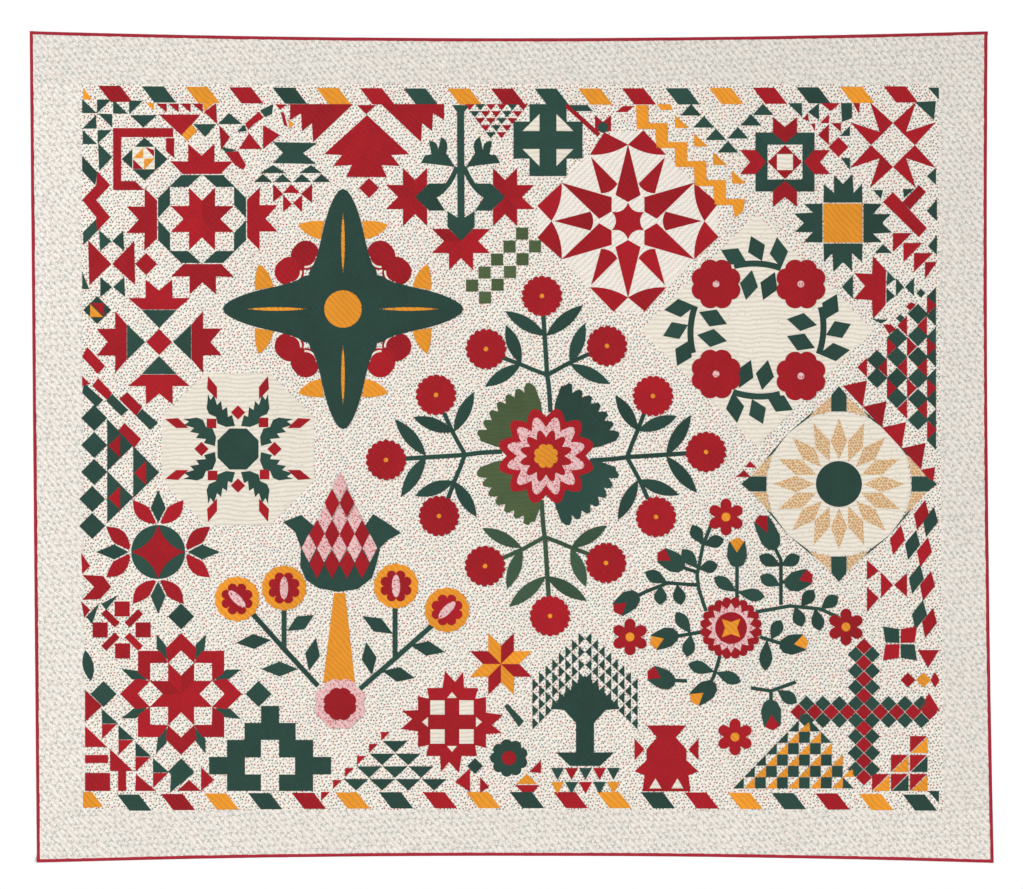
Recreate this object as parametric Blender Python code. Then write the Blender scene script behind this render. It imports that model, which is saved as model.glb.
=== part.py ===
"""A pieced and applique sampler quilt, hung from a slat through a hidden sleeve.

The quilt hangs in the XZ plane and its front faces -Y. The origin is on the wall plane, at the
middle of the slat. Pattern sizes are in inches from the middle of the quilt, as a quilter
drafts them, and thicknesses are in metres.
"""

import math

import bmesh
import bpy
from mathutils import Matrix, Vector
from mathutils.geometry import delaunay_2d_cdt

INCH = 0.0254

# Overall sizes, in inches from the middle of the quilt.
HALF_WIDTH = 47.8
HALF_HEIGHT = 40.9
EDGE_RISE = 0.7
SIDE_BORDER = 5.0
END_BORDER = 4.6
FIELD_HALF_WIDTH = HALF_WIDTH - SIDE_BORDER
FIELD_HALF_HEIGHT = HALF_HEIGHT - END_BORDER
RIBBON_DEPTH = 1.8
HANG_LINE = HALF_HEIGHT - 2.9
BINDING = 0.4

# The blocks are drafted on this field and stretched to fit the real one.
DRAFT_HALF_WIDTH = 42.8
DRAFT_HALF_HEIGHT = 34.5
STRETCH_X = FIELD_HALF_WIDTH / DRAFT_HALF_WIDTH
STRETCH_Z = (FIELD_HALF_HEIGHT - RIBBON_DEPTH) / DRAFT_HALF_HEIGHT

# Cloth thicknesses and clearances, in metres.
GAP = 0.0003
CLOTH = 0.0005
BATTING = 0.0025
BACKING = 0.0004

# Hanger sizes, in metres.
SLAT_HEIGHT = 0.064
SLAT_DEPTH = 0.019
SLAT_LENGTH = 2.0 * HALF_WIDTH * INCH - 0.308
SLAT_SHOWS = 0.09
SLEEVE_LENGTH = SLAT_LENGTH - 2.0 * SLAT_SHOWS
SLEEVE_WALL = 0.0006
SLEEVE_DROP = SLAT_HEIGHT / 2.0 + 0.03
PLATE_DEPTH = 0.003
PLATE_WIDTH = 0.05
PLATE_RISE = SLAT_HEIGHT / 2.0 + 0.02
PLATE_REACH = SLAT_HEIGHT / 2.0 - 0.002
SCREW_RADIUS = 0.002
SCREW_LENGTH = 0.014
HEAD_RADIUS = 0.004
HEAD_DEPTH = 0.0016
WALL_HOLE_RADIUS = 0.0025

# Depths along -Y from the wall, from back to front.
SLAT_BACK = PLATE_DEPTH + GAP
SLAT_FRONT = SLAT_BACK + SLAT_DEPTH
SLEEVE_FRONT = SLAT_FRONT + GAP + SLEEVE_WALL
BACKING_FRONT = SLEEVE_FRONT + GAP + BACKING
BATTING_FRONT = BACKING_FRONT + GAP + BATTING
GROUND_FRONT = BATTING_FRONT + GAP + CLOTH
LAYER_PITCH = CLOTH + GAP
SEAM = GAP / INCH
EDGE_INSET = (CLOTH + 2.0 * GAP) / INCH

COLOURS = {
    "print": (0.78, 0.74, 0.68),
    "ground": (0.85, 0.81, 0.73),
    "red": (0.42, 0.014, 0.022),
    "green": (0.028, 0.088, 0.064),
    "orange": (0.68, 0.27, 0.022),
    "pink": (0.76, 0.42, 0.42),
    "backing": (0.80, 0.77, 0.70),
    "batting": (0.86, 0.84, 0.79),
    "wood": (0.55, 0.36, 0.19),
    "steel": (0.55, 0.56, 0.58),
}


def clear_scene():
    """Removes every object that the scene starts with."""
    for ob in list(bpy.data.objects):
        bpy.data.objects.remove(ob, do_unlink=True)


def make_collection(name):
    """A new collection linked to the scene."""
    coll = bpy.data.collections.new(name)
    bpy.context.scene.collection.children.link(coll)
    return coll


clear_scene()
PARTS = make_collection("sampler_quilt")
CUTTERS = make_collection("cutters")
MATERIALS = {}


def material(name):
    """The Principled material of that name, made once."""
    if name not in MATERIALS:
        mat = bpy.data.materials.new(name)
        mat.use_nodes = True
        shader = mat.node_tree.nodes["Principled BSDF"]
        shader.inputs["Base Color"].default_value = (*COLOURS[name], 1.0)
        shader.inputs["Roughness"].default_value = 0.4 if name == "steel" else 0.9
        shader.inputs["Metallic"].default_value = 1.0 if name == "steel" else 0.0
        MATERIALS[name] = mat
    return MATERIALS[name]


def add_object(name, mesh, finish):
    """Links a mesh as a named part with its own finish."""
    ob = bpy.data.objects.new(name, mesh)
    PARTS.objects.link(ob)
    ob.data.materials.clear()
    ob.data.materials.append(material(finish))
    return ob


def weld(mesh, reach=0.00001):
    """Joins a curve's loose caps to its walls, in place."""
    bm = bmesh.new()
    bm.from_mesh(mesh)
    bmesh.ops.remove_doubles(bm, verts=bm.verts, dist=reach)
    bmesh.ops.recalc_face_normals(bm, faces=bm.faces)
    bm.to_mesh(mesh)
    bm.free()


def plate_mesh(name, outline, front, thickness):
    """A closed plate in the XZ plane. The outline is in inches about the quilt's middle."""
    curve = bpy.data.curves.new(name, "CURVE")
    curve.dimensions = "2D"
    curve.fill_mode = "BOTH"
    curve.extrude = thickness / 2.0
    spline = curve.splines.new("POLY")
    spline.points.add(len(outline) - 1)
    for point, (x, z) in zip(spline.points, outline):
        point.co = (x * INCH, (z - HANG_LINE) * INCH, 0.0, 1.0)
    spline.use_cyclic_u = True
    holder = bpy.data.objects.new(name + "_curve", curve)
    CUTTERS.objects.link(holder)
    bpy.context.view_layer.update()
    seen = holder.evaluated_get(bpy.context.evaluated_depsgraph_get())
    mesh = bpy.data.meshes.new_from_object(seen)
    bpy.data.objects.remove(holder, do_unlink=True)
    stand = Matrix.Rotation(math.pi / 2.0, 4, "X")
    stand.translation = Vector((0.0, -front + thickness / 2.0, 0.0))
    mesh.transform(stand)
    weld(mesh)
    return mesh


def plate(name, outline, front, thickness, finish):
    """A flat cloth piece as its own part."""
    return add_object(name, plate_mesh(name, outline, front, thickness), finish)


def hide_cutter(ob):
    """Puts a helper object with the cutters, out of sight."""
    CUTTERS.objects.link(ob)
    ob.hide_render = True
    ob.display_type = "WIRE"


def apply_boolean(ob, helpers, operation):
    """Applies one exact Boolean with all the helper meshes, then removes them."""
    group = bpy.data.collections.new("helpers")
    bpy.context.scene.collection.children.link(group)
    for mesh in helpers:
        helper = bpy.data.objects.new("helper", mesh)
        hide_cutter(helper)
        group.objects.link(helper)
    mod = ob.modifiers.new("cut", "BOOLEAN")
    mod.operation = operation
    mod.solver = "EXACT"
    mod.operand_type = "COLLECTION"
    mod.collection = group
    bpy.context.view_layer.update()
    seen = ob.evaluated_get(bpy.context.evaluated_depsgraph_get())
    mesh = bpy.data.meshes.new_from_object(seen)
    ob.modifiers.clear()
    ob.data = mesh
    for helper in list(group.objects):
        bpy.data.objects.remove(helper, do_unlink=True)
    bpy.data.collections.remove(group)
    weld(ob.data, 0.0000001)
    return ob


def layer_front(layer):
    """How far in front of the wall the applique layer's face is, in metres."""
    return GROUND_FRONT + layer * LAYER_PITCH


def anticlockwise(outline):
    """The outline in the turning sense that the triangulation needs."""
    pairs = zip(outline, outline[1:] + outline[:1])
    area = sum(ax * bz - bx * az for (ax, az), (bx, bz) in pairs)
    return outline if area > 0.0 else outline[::-1]


def joined_mesh(name, outlines, front, thickness):
    """A closed plate covering all the overlapping outlines, whose edges are cut as one."""
    outlines = [anticlockwise(outline) for outline in outlines]
    points = [Vector((x, z)) for outline in outlines for x, z in outline]
    loops = []
    for outline in outlines:
        first = sum(len(loop) for loop in loops)
        loops.append(list(range(first, first + len(outline))))
    cut = delaunay_2d_cdt(points, [], loops, 0, 0.0001)
    verts, faces, owners = cut[0], cut[2], cut[5]
    bm = bmesh.new()
    made = []
    for x, z in verts:
        place = (x * STRETCH_X * INCH, -front, (z * STRETCH_Z - HANG_LINE) * INCH)
        made.append(bm.verts.new(place))
    for face, owner in zip(faces, owners):
        if owner:
            bm.faces.new([made[i] for i in face])
    loose = [v for v in bm.verts if not v.link_faces]
    bmesh.ops.delete(bm, geom=loose, context="VERTS")
    bmesh.ops.dissolve_limit(
        bm, angle_limit=0.001, verts=bm.verts, edges=bm.edges, use_dissolve_boundaries=False
    )
    grown = bmesh.ops.extrude_face_region(bm, geom=list(bm.faces))
    moved = [v for v in grown["geom"] if isinstance(v, bmesh.types.BMVert)]
    bmesh.ops.translate(bm, vec=(0.0, thickness, 0.0), verts=moved)
    bmesh.ops.recalc_face_normals(bm, faces=bm.faces)
    mesh = bpy.data.meshes.new(name)
    bm.to_mesh(mesh)
    bm.free()
    return mesh


def motif(name, outlines, finish, layer=1):
    """An applique or pieced block as one solid made of overlapping flat outlines."""
    mesh = joined_mesh(name, outlines, layer_front(layer), CLOTH)
    return add_object(name, mesh, finish)


# Outline helpers, all in inches.


def octagon(x, z, reach, flat):
    """An octagon whose sides face along the axes and whose flats have that half width."""
    near = [(flat, reach), (reach, flat), (reach, -flat), (flat, -reach)]
    far = [(-a, -b) for a, b in near]
    return [(x + a, z + b) for a, b in near + far]


def disc(x, z, radius, sides=24):
    """A many-sided round outline."""
    turn = 2.0 * math.pi / sides
    return [
        (x + radius * math.cos(i * turn), z + radius * math.sin(i * turn))
        for i in range(sides)
    ]


def star(x, z, tip, inner, points, start=90.0):
    """A star outline with that many points, the first one at the start angle."""
    out = []
    for i in range(2 * points):
        angle = math.radians(start + i * 180.0 / points)
        reach = inner if i % 2 else tip
        out.append((x + reach * math.cos(angle), z + reach * math.sin(angle)))
    return out


def leaf(base, tip, width):
    """A pointed leaf from base to tip."""
    (bx, bz), (tx, tz) = base, tip
    span = math.hypot(tx - bx, tz - bz)
    nx, nz = -(tz - bz) / span * width / 2.0, (tx - bx) / span * width / 2.0
    left = [(0.0, 0.0), (0.33, 0.9), (0.7, 0.8), (1.0, 0.0)]
    sides = [(t, w) for t, w in left] + [(t, -w) for t, w in reversed(left[1:-1])]
    return [(bx + (tx - bx) * t + nx * w, bz + (tz - bz) * t + nz * w) for t, w in sides]


def bar(start, end, width):
    """A straight strip between two points."""
    (ax, az), (bx, bz) = start, end
    span = math.hypot(bx - ax, bz - az)
    nx, nz = -(bz - az) / span * width / 2.0, (bx - ax) / span * width / 2.0
    return [(ax + nx, az + nz), (bx + nx, bz + nz), (bx - nx, bz - nz), (ax - nx, az - nz)]


def strip(points, width):
    """Bars along a path of points, each run a little past its joints."""
    out = []
    for (ax, az), (bx, bz) in zip(points, points[1:]):
        span = math.hypot(bx - ax, bz - az)
        ex, ez = (bx - ax) / span * width * 0.35, (bz - az) / span * width * 0.35
        out.append(bar((ax - ex, az - ez), (bx + ex, bz + ez), width))
    return out


def turned(outline, centre, quarters):
    """An outline turned about a centre by quarter turns, clockwise."""
    cx, cz = centre
    out = outline
    for _ in range(quarters):
        out = [(cx + (z - cz), cz - (x - cx)) for x, z in out]
    return out


# The quilt's gently bowed edges, in inches.


def top_edge(x):
    """Height of the top edge, which dips in the middle."""
    return HALF_HEIGHT + EDGE_RISE * (x / HALF_WIDTH) ** 2


def bottom_edge(x):
    """Height of the bottom edge, which rises in the middle."""
    return -HALF_HEIGHT - EDGE_RISE * (x / HALF_WIDTH) ** 2


def left_edge(z):
    """Place of the left edge, which leans out towards the top."""
    return -HALF_WIDTH - 0.35 * (z / HALF_HEIGHT)


def right_edge(z):
    """Place of the right edge, which leans out towards the bottom."""
    u = z / HALF_HEIGHT
    return HALF_WIDTH - 0.12 - 0.3 * u + 0.3 * u * u


EDGE_STEPS = 12


def run(edge, start, end):
    """Points along one edge from start to end."""
    step = (end - start) / EDGE_STEPS
    return [(start + i * step, edge(start + i * step)) for i in range(EDGE_STEPS + 1)]


def span_between(lower, upper, inset):
    """An outline between two heights given as functions of x, inset from the side edges."""
    left_top = left_edge(HALF_HEIGHT) + inset
    right_top = right_edge(HALF_HEIGHT) - inset
    left_low = left_edge(lower(-HALF_WIDTH)) + inset
    right_low = right_edge(lower(HALF_WIDTH)) - inset
    if upper(0.0) < 0.0:
        left_top = left_edge(upper(0.0)) + inset
        right_top = right_edge(upper(0.0)) - inset
    return run(upper, left_top, right_top) + run(lower, right_low, left_low)


def side_outline(edge, inner, top, low):
    """An outline between a side edge and an inner edge, both functions of z."""
    step = (top - low) / EDGE_STEPS
    heights = [low + i * step for i in range(EDGE_STEPS + 1)]
    return [(edge(z), z) for z in heights] + [(inner(z), z) for z in (top, low)]


def sheet_outline(inset):
    """The whole quilt's outline, that far inside its finished edges."""
    corner = HALF_HEIGHT + EDGE_RISE
    top = run(lambda x: top_edge(x) - inset, left_edge(corner) + inset, right_edge(corner) - inset)
    low = run(
        lambda x: bottom_edge(x) + inset, right_edge(-corner) - inset, left_edge(-corner) + inset
    )
    step = 2.0 * HALF_HEIGHT / EDGE_STEPS
    inner = [-HALF_HEIGHT + i * step for i in range(1, EDGE_STEPS)]
    right = [(right_edge(z) - inset, z) for z in reversed(inner)]
    left = [(left_edge(z) + inset, z) for z in inner]
    return top + right + low + left


def build_sandwich():
    """Backing, batting, field ground, borders and ribbon strips."""
    whole = sheet_outline(EDGE_INSET)
    plate("backing", whole, BACKING_FRONT, BACKING, "backing")
    plate("batting", whole, BATTING_FRONT, BATTING, "batting")
    field_top = FIELD_HALF_HEIGHT
    ribbon_low = field_top - RIBBON_DEPTH
    lean = 0.3
    wide = FIELD_HALF_WIDTH
    for side, name in ((1.0, "ribbon_strip_top"), (-1.0, "ribbon_strip_bottom")):
        shift = -lean * side
        outer, inner = side * field_top, side * (ribbon_low + SEAM)
        shape = [(-wide + shift, outer), (wide + shift, outer)]
        shape += [(wide + shift, inner), (-wide + shift, inner)]
        plate(name, shape, GROUND_FRONT, CLOTH, "print")
    ground = [(-wide - lean, ribbon_low), (wide - lean, ribbon_low)]
    ground += [(wide + lean, -ribbon_low), (-wide + lean, -ribbon_low)]
    plate("field_ground", ground, GROUND_FRONT, CLOTH, "ground")
    inset = EDGE_INSET
    rows = {
        "border_top": (lambda x: field_top + SEAM, lambda x: top_edge(x) - inset),
        "border_bottom": (lambda x: bottom_edge(x) + inset, lambda x: -field_top - SEAM),
    }
    for name, (lower, upper) in rows.items():
        plate(name, span_between(lower, upper, inset), GROUND_FRONT, CLOTH, "print")
    columns = {
        "border_left": (
            lambda z: left_edge(z) + inset,
            lambda z: -wide - lean * z / field_top - 2.0 * SEAM,
        ),
        "border_right": (
            lambda z: right_edge(z) - inset,
            lambda z: wide - lean * z / field_top + lean * 0.1,
        ),
    }
    for name, (edge, inner) in columns.items():
        shape = side_outline(edge, inner, field_top, -field_top)
        plate(name, shape, GROUND_FRONT, CLOTH, "print")


def build_bindings():
    """Folded strips over the raw edges, each a channel cut round the sandwich."""
    front = GROUND_FRONT + GAP + CLOTH
    back = BACKING_FRONT - BACKING - GAP - CLOTH
    depth = front - back
    core = sheet_outline(EDGE_INSET - SEAM)
    core_front = GROUND_FRONT + GAP
    core_depth = depth - 2.0 * CLOTH
    corner = top_edge(HALF_WIDTH - 2.0 * BINDING) - BINDING - SEAM
    strips = {
        "binding_top": span_between(lambda x: top_edge(x) - BINDING, top_edge, 0.0),
        "binding_bottom": span_between(bottom_edge, lambda x: bottom_edge(x) + BINDING, 0.0),
        "binding_left": side_outline(
            left_edge, lambda z: left_edge(z) + BINDING, corner, -corner
        ),
        "binding_right": side_outline(
            right_edge, lambda z: right_edge(z) - BINDING, corner, -corner
        ),
    }
    for name, shape in strips.items():
        ob = plate(name, shape, front, depth, "red")
        apply_boolean(ob, [plate_mesh("core", core, core_front, core_depth)], "DIFFERENCE")


def ring_mesh(name, outline, length):
    """A closed outline in the YZ plane, in metres, drawn out along X as a solid."""
    bm = bmesh.new()
    verts = [bm.verts.new((-length / 2.0, y, z)) for y, z in outline]
    face = bm.faces.new(verts)
    grown = bmesh.ops.extrude_face_region(bm, geom=[face])
    moved = [v for v in grown["geom"] if isinstance(v, bmesh.types.BMVert)]
    bmesh.ops.translate(bm, vec=(length, 0.0, 0.0), verts=moved)
    bmesh.ops.recalc_face_normals(bm, faces=bm.faces)
    mesh = bpy.data.meshes.new(name)
    bm.to_mesh(mesh)
    bm.free()
    return mesh


def tube_outline(grow):
    """The sleeve's section in YZ: over the slat, down its back and in to the quilt."""
    front = -SLAT_FRONT - GAP
    back = -SLAT_BACK + GAP
    top = SLAT_HEIGHT / 2.0 + GAP
    low = -SLEEVE_DROP
    slat_low = -SLAT_HEIGHT / 2.0 - 0.004
    return [
        (front - grow, top + grow),
        (back + grow, top + grow),
        (back + grow, slat_low),
        (front + grow * 0.5 + 0.002, low - grow),
        (front - grow, low - grow),
    ]


def build_sleeve():
    """The cloth tube sewn to the back, which the slat runs through."""
    outer = ring_mesh("hanging_sleeve", tube_outline(SLEEVE_WALL), SLEEVE_LENGTH)
    ob = add_object("hanging_sleeve", outer, "backing")
    inner = ring_mesh("bore", tube_outline(0.0), SLEEVE_LENGTH * 1.1)
    return apply_boolean(ob, [inner], "DIFFERENCE")


def round_rod(name, radius, depth, x, y, z, sides=24):
    """A closed cylinder along Y, between its back at y and y - depth."""
    bm = bmesh.new()
    bmesh.ops.create_cone(
        bm, cap_ends=True, segments=sides, radius1=radius, radius2=radius, depth=depth
    )
    bmesh.ops.rotate(bm, verts=bm.verts, matrix=Matrix.Rotation(math.pi / 2.0, 3, "X"))
    bmesh.ops.translate(bm, verts=bm.verts, vec=(x, y - depth / 2.0, z))
    mesh = bpy.data.meshes.new(name)
    bm.to_mesh(mesh)
    bm.free()
    return mesh


def box_mesh(name, low, high):
    """A closed box between two corners, in metres."""
    bm = bmesh.new()
    bmesh.ops.create_cube(bm, size=1.0)
    size = [b - a for a, b in zip(low, high)]
    middle = [(a + b) / 2.0 for a, b in zip(low, high)]
    bmesh.ops.scale(bm, verts=bm.verts, vec=size)
    bmesh.ops.translate(bm, verts=bm.verts, vec=middle)
    mesh = bpy.data.meshes.new(name)
    bm.to_mesh(mesh)
    bm.free()
    return mesh


def build_hanger():
    """The slat with an end plate and a screw at each end."""
    half = SLAT_LENGTH / 2.0
    low = (-half, -SLAT_FRONT, -SLAT_HEIGHT / 2.0)
    high = (half, -SLAT_BACK, SLAT_HEIGHT / 2.0)
    slat = add_object("slat", box_mesh("slat", low, high), "wood")
    screw_x = half - PLATE_WIDTH / 2.0
    holes = []
    for side in (-1.0, 1.0):
        holes.append(
            round_rod(
                "hole",
                SCREW_RADIUS + GAP,
                SLAT_DEPTH * 0.7 + 0.001,
                side * screw_x,
                -SLAT_BACK + 0.001,
                0.0,
            )
        )
    apply_boolean(slat, holes, "DIFFERENCE")
    for side, word in ((-1.0, "left"), (1.0, "right")):
        x = side * screw_x
        plate_low = (x - PLATE_WIDTH / 2.0, -PLATE_DEPTH, -PLATE_REACH)
        plate_high = (x + PLATE_WIDTH / 2.0, 0.0, PLATE_RISE)
        name = "end_plate_" + word
        ob = add_object(name, box_mesh(name, plate_low, plate_high), "steel")
        wall_z = (SLAT_HEIGHT / 2.0 + PLATE_RISE) / 2.0
        cuts = [
            round_rod("hole", SCREW_RADIUS + GAP, 0.01, x, 0.003, 0.0),
            round_rod("seat", HEAD_RADIUS + GAP, HEAD_DEPTH + 0.002, x, 0.002, 0.0),
            round_rod("wall_hole", WALL_HOLE_RADIUS, 0.01, x, 0.003, wall_z),
        ]
        apply_boolean(ob, cuts, "DIFFERENCE")
        head_depth = HEAD_DEPTH - 2.0 * GAP
        head = round_rod("head", HEAD_RADIUS, head_depth, x, -GAP, 0.0)
        screw = add_object("screw_" + word, head, "steel")
        shank_back = -GAP - head_depth / 2.0
        shank = round_rod("shank", SCREW_RADIUS, SCREW_LENGTH, x, shank_back, 0.0)
        apply_boolean(screw, [shank], "UNION")


# Pieced blocks, from the top left round the field.

BLOCKS = {
    "corner_sampler": (
        "green",
        [
            (-42.8, 34.4), (-22.2, 34.4), (-22.2, 29.8), (-28.8, 29.8), (-29.8, 30.8),
            (-32.4, 30.8), (-38.7, 24.5), (-38.7, 21.4), (-37.9, 20.6), (-37.8, 16.6),
            (-38.8, 15.2), (-42.7, 14.9),
        ],
        [
            (-23.8, 30.8), (-22.4, 30.8), (-20.0, 30.3), (-18.1, 27.5), (-18.1, 26.4),
            (-19.8, 24.4), (-22.9, 23.5), (-23.6, 24.7), (-25.4, 26.5), (-25.4, 27.5),
        ],
    ),
    "pine_block": (
        "red",
        [
            (-22.0, 34.3), (-7.1, 34.3), (-7.1, 31.4), (-9.0, 30.4), (-10.1, 29.1),
            (-14.1, 24.8), (-18.3, 29.0), (-19.6, 30.5), (-22.0, 32.7),
        ],
    ),
    "cross_block": (
        "green",
        [
            (-3.9, 34.3), (12.8, 34.3), (11.6, 32.6), (9.5, 31.9), (7.2, 32.4),
            (7.2, 28.8), (5.6, 28.8), (5.6, 27.1), (1.9, 27.1), (1.9, 28.8),
            (0.3, 28.8), (0.3, 32.0), (-1.6, 30.9),
        ],
    ),
    "zigzag_and_geese": (
        "orange",
        [(13.0, 34.3), (15.5, 34.3), (24.5, 25.3), (22.7, 23.1), (13.9, 31.8), (13.0, 32.7)],
        [(15.3, 34.3), (26.4, 34.3), (26.4, 33.3), (22.6, 29.5), (20.1, 29.5)],
    ),
    "right_edge_crosses": (
        "red",
        [
            (36.7, 25.6), (40.3, 25.6), (42.4, 27.7), (42.5, 16.6), (41.3, 16.6),
            (37.0, 19.9), (38.4, 21.2), (38.4, 23.5),
        ],
        [
            (37.4, 20.1), (38.4, 19.5), (39.5, 17.0), (41.5, 15.3), (39.5, 14.7),
            (37.9, 14.1), (36.2, 12.7), (34.2, 14.6), (33.0, 14.8), (33.0, 17.2),
            (34.4, 17.3), (36.2, 19.1),
        ],
    ),
    "diamond_checker": (
        "red",
        [
            (41.9, 15.0), (42.7, 15.0), (42.8, 0.9), (41.9, 0.8), (39.9, 2.8),
            (37.8, 5.0), (35.8, 6.9), (34.7, 7.0), (34.7, 9.7), (36.7, 10.1),
            (38.6, 12.2), (39.9, 13.8),
        ],
    ),
    "sunflower_plate": (
        "ground",
        [
            (32.0, 5.9), (33.6, 5.9), (35.5, 6.3), (37.6, 4.3), (39.6, 2.3),
            (41.5, 0.3), (42.3, -2.0), (42.1, -4.4), (39.7, -4.9), (37.9, -8.9),
            (34.0, -11.3), (33.5, -13.6), (32.0, -13.6), (31.1, -11.1), (27.6, -8.9),
            (25.3, -4.9), (23.3, -4.5), (23.3, -3.3), (25.3, -2.5), (27.6, 1.5),
            (31.1, 3.7),
        ],
    ),
    "left_strips": (
        "green",
        [
            (-42.7, 10.0), (-42.3, 9.9), (-40.5, 7.1), (-38.7, 5.0), (-37.0, 3.9),
            (-33.9, 2.9), (-33.9, 2.0), (-35.0, 0.8),
            (-35.0, -2.4), (-36.4, -3.9), (-40.3, -7.8), (-42.7, -7.9),
        ],
    ),
    "lower_left_corner": (
        "red",
        [
            (-42.8, -10.6), (-41.9, -11.9), (-40.6, -12.8), (-39.9, -13.9), (-37.5, -17.3),
            (-38.0, -20.2), (-39.4, -21.8), (-39.4, -27.4), (-36.4, -30.4), (-35.4, -31.1),
            (-30.4, -31.2), (-30.4, -32.9), (-29.8, -33.3), (-30.9, -34.5), (-42.6, -34.5),
        ],
    ),
    "stepped_cross": (
        "green",
        [
            (-25.0, -25.9), (-23.2, -25.9), (-23.2, -27.5), (-21.6, -27.5), (-21.6, -29.3),
            (-19.9, -29.3), (-19.9, -31.0), (-18.1, -31.0), (-18.1, -32.7), (-19.9, -32.7),
            (-19.9, -34.4), (-28.4, -34.4), (-28.4, -32.7), (-30.0, -32.7), (-30.0, -31.0),
            (-28.4, -31.0), (-28.4, -29.3), (-26.7, -29.3), (-26.7, -27.5), (-25.0, -27.5),
        ],
    ),
    "pyramid_block": (
        "green",
        [
            (-12.7, -27.8), (-11.2, -29.2), (-11.0, -29.8), (-8.5, -33.0), (-6.0, -33.1),
            (-6.1, -34.4), (-19.3, -34.4),
            (-17.4, -32.4),
        ],
    ),
    "star_cross_block": (
        "red",
        [
            (-8.2, -24.3), (-3.4, -22.6), (-1.2, -24.7), (-0.9, -29.4), (-3.3, -32.6),
            (-8.1, -32.6), (-10.7, -29.4), (-10.7, -24.7),
        ],
    ),
    "tree_of_life": (
        "green",
        [
            (6.4, -18.5), (8.0, -18.5), (12.7, -23.0), (12.7, -26.3), (9.8, -26.4),
            (8.5, -30.2), (10.7, -30.5), (10.7, -34.4), (5.1, -34.4), (5.1, -30.5),
            (6.6, -30.2), (5.5, -26.4), (1.9, -26.3), (1.9, -23.0),
        ],
    ),
    "filler_flower_patch": (
        "green",
        [
            (-0.6, -25.8), (0.2, -25.8), (2.2, -28.2), (4.2, -30.8), (4.2, -34.4),
            (-5.7, -34.4), (-5.7, -33.4), (-4.1, -32.8), (-2.9, -32.8), (-0.6, -29.6),
        ],
    ),
    "basket_block": (
        "red",
        [
            (13.6, -27.7), (17.5, -27.7), (18.9, -29.2), (18.9, -34.4), (12.2, -34.4),
            (12.2, -29.2),
        ],
    ),
    "checker_triangle": (
        "orange",
        [(28.5, -26.7), (29.8, -28.2), (34.3, -33.6), (34.3, -34.4), (19.8, -34.4),
         (21.0, -32.6)],
    ),
    "on_point_cross_corner": (
        "red",
        [
            (43.0, -26.7), (41.2, -26.7), (36.6, -31.5), (35.4, -32.8), (35.9, -34.4),
            (42.9, -34.4),
        ],
        [
            (35.3, -19.6), (36.1, -20.5), (36.1, -25.7), (41.6, -25.7), (42.4, -26.5),
            (41.6, -27.3), (36.1, -27.3), (36.1, -33.0), (35.3, -33.9), (34.5, -33.0),
            (34.5, -27.3), (29.2, -27.3), (28.4, -26.5), (29.2, -25.7), (34.5, -25.7),
            (34.5, -20.5),
        ],
    ),
    "harlequin_strip": (
        "red",
        [
            (41.4, -5.3), (42.6, -5.3), (42.9, -20.1), (42.8, -26.2), (40.0, -24.2),
            (38.9, -23.2), (36.8, -21.4), (36.8, -17.9), (39.8, -15.7), (38.3, -12.7),
            (35.6, -13.4), (35.6, -11.3), (37.7, -11.2), (38.1, -9.2), (38.7, -8.2),
        ],
    ),
    "checker_path": (
        "green",
        [
            (-4.5, 15.6), (-3.2, 14.4), (-2.0, 14.4), (2.9, 19.5), (2.9, 20.6),
            (1.7, 21.9), (0.5, 21.9), (-4.5, 16.7),
        ],
    ),
}


def build_blocks():
    """The pieced blocks and strips of patches that lie on the field."""
    for name, (finish, *outlines) in BLOCKS.items():
        motif(name, outlines, finish)
    motif("wheel_block_upper", [octagon(-30.9, 22.8, 7.6, 1.3)], "red")
    motif("wheel_block_lower", [octagon(-33.0, -24.7, 6.1, 2.6)], "red")
    motif("compass_block", [octagon(11.65, 22.6, 9.0, 1.5)], "red")
    motif("tulip_ring_block", [octagon(27.4, 28.5, 4.5, 1.3)], "green")
    motif("sawtooth_star_block", [octagon(33.2, 22.4, 4.8, 1.0)], "green")
    beside = [(27.9, 34.3), (36.0, 34.3), (34.2, 32.5), (34.2, 28.4), (32.3, 29.5)]
    beside += [(32.1, 30.1), (28.9, 33.2)]
    motif("kaleidoscope_block", [octagon(38.1, 30.2, 4.3, 2.1), beside], "red")


def four_flower():
    """Centre diamond with four flowers, as one pieced cross of triangles."""
    centre = (-35.2, 10.5)
    arm = [(0.0, 0.0), (1.8, 1.5), (3.1, 3.3), (3.1, 4.4), (1.3, 6.2)]
    arm += [(-1.4, 6.2), (-3.2, 4.4), (-3.2, 3.3), (-1.8, 1.5)]
    outline = [(centre[0] + a, centre[1] + b) for a, b in arm]
    core = octagon(centre[0], centre[1], 2.4, 1.0)
    return [core] + [turned(outline, centre, q) for q in range(4)]


def melon_flower():
    """Round centre with four three-petalled ends."""
    centre = (-35.3, -10.5)
    petal = [(0.0, 1.5), (1.0, 3.2), (2.4, 4.8), (1.6, 5.0), (0.0, 6.1)]
    petal += [(-1.6, 5.0), (-2.4, 4.8), (-1.0, 3.2)]
    outline = [(centre[0] + a, centre[1] + b) for a, b in petal]
    return [disc(*centre, 2.7)] + [turned(outline, centre, q) for q in range(4)]


def feathered_star():
    """Octagon with jagged leaf pairs on four sides."""
    centre = (-27.3, -0.2)
    side = [(-2.1, 1.6), (-2.9, 5.3), (-1.6, 4.6), (-0.9, 5.4), (0.0, 2.9)]
    side += [(0.9, 5.4), (1.6, 4.6), (2.9, 5.3), (2.1, 1.6)]
    outline = [(centre[0] + a, centre[1] + b) for a, b in side]
    return [octagon(*centre, 2.6, 2.2)] + [turned(outline, centre, q) for q in range(4)]


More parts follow.
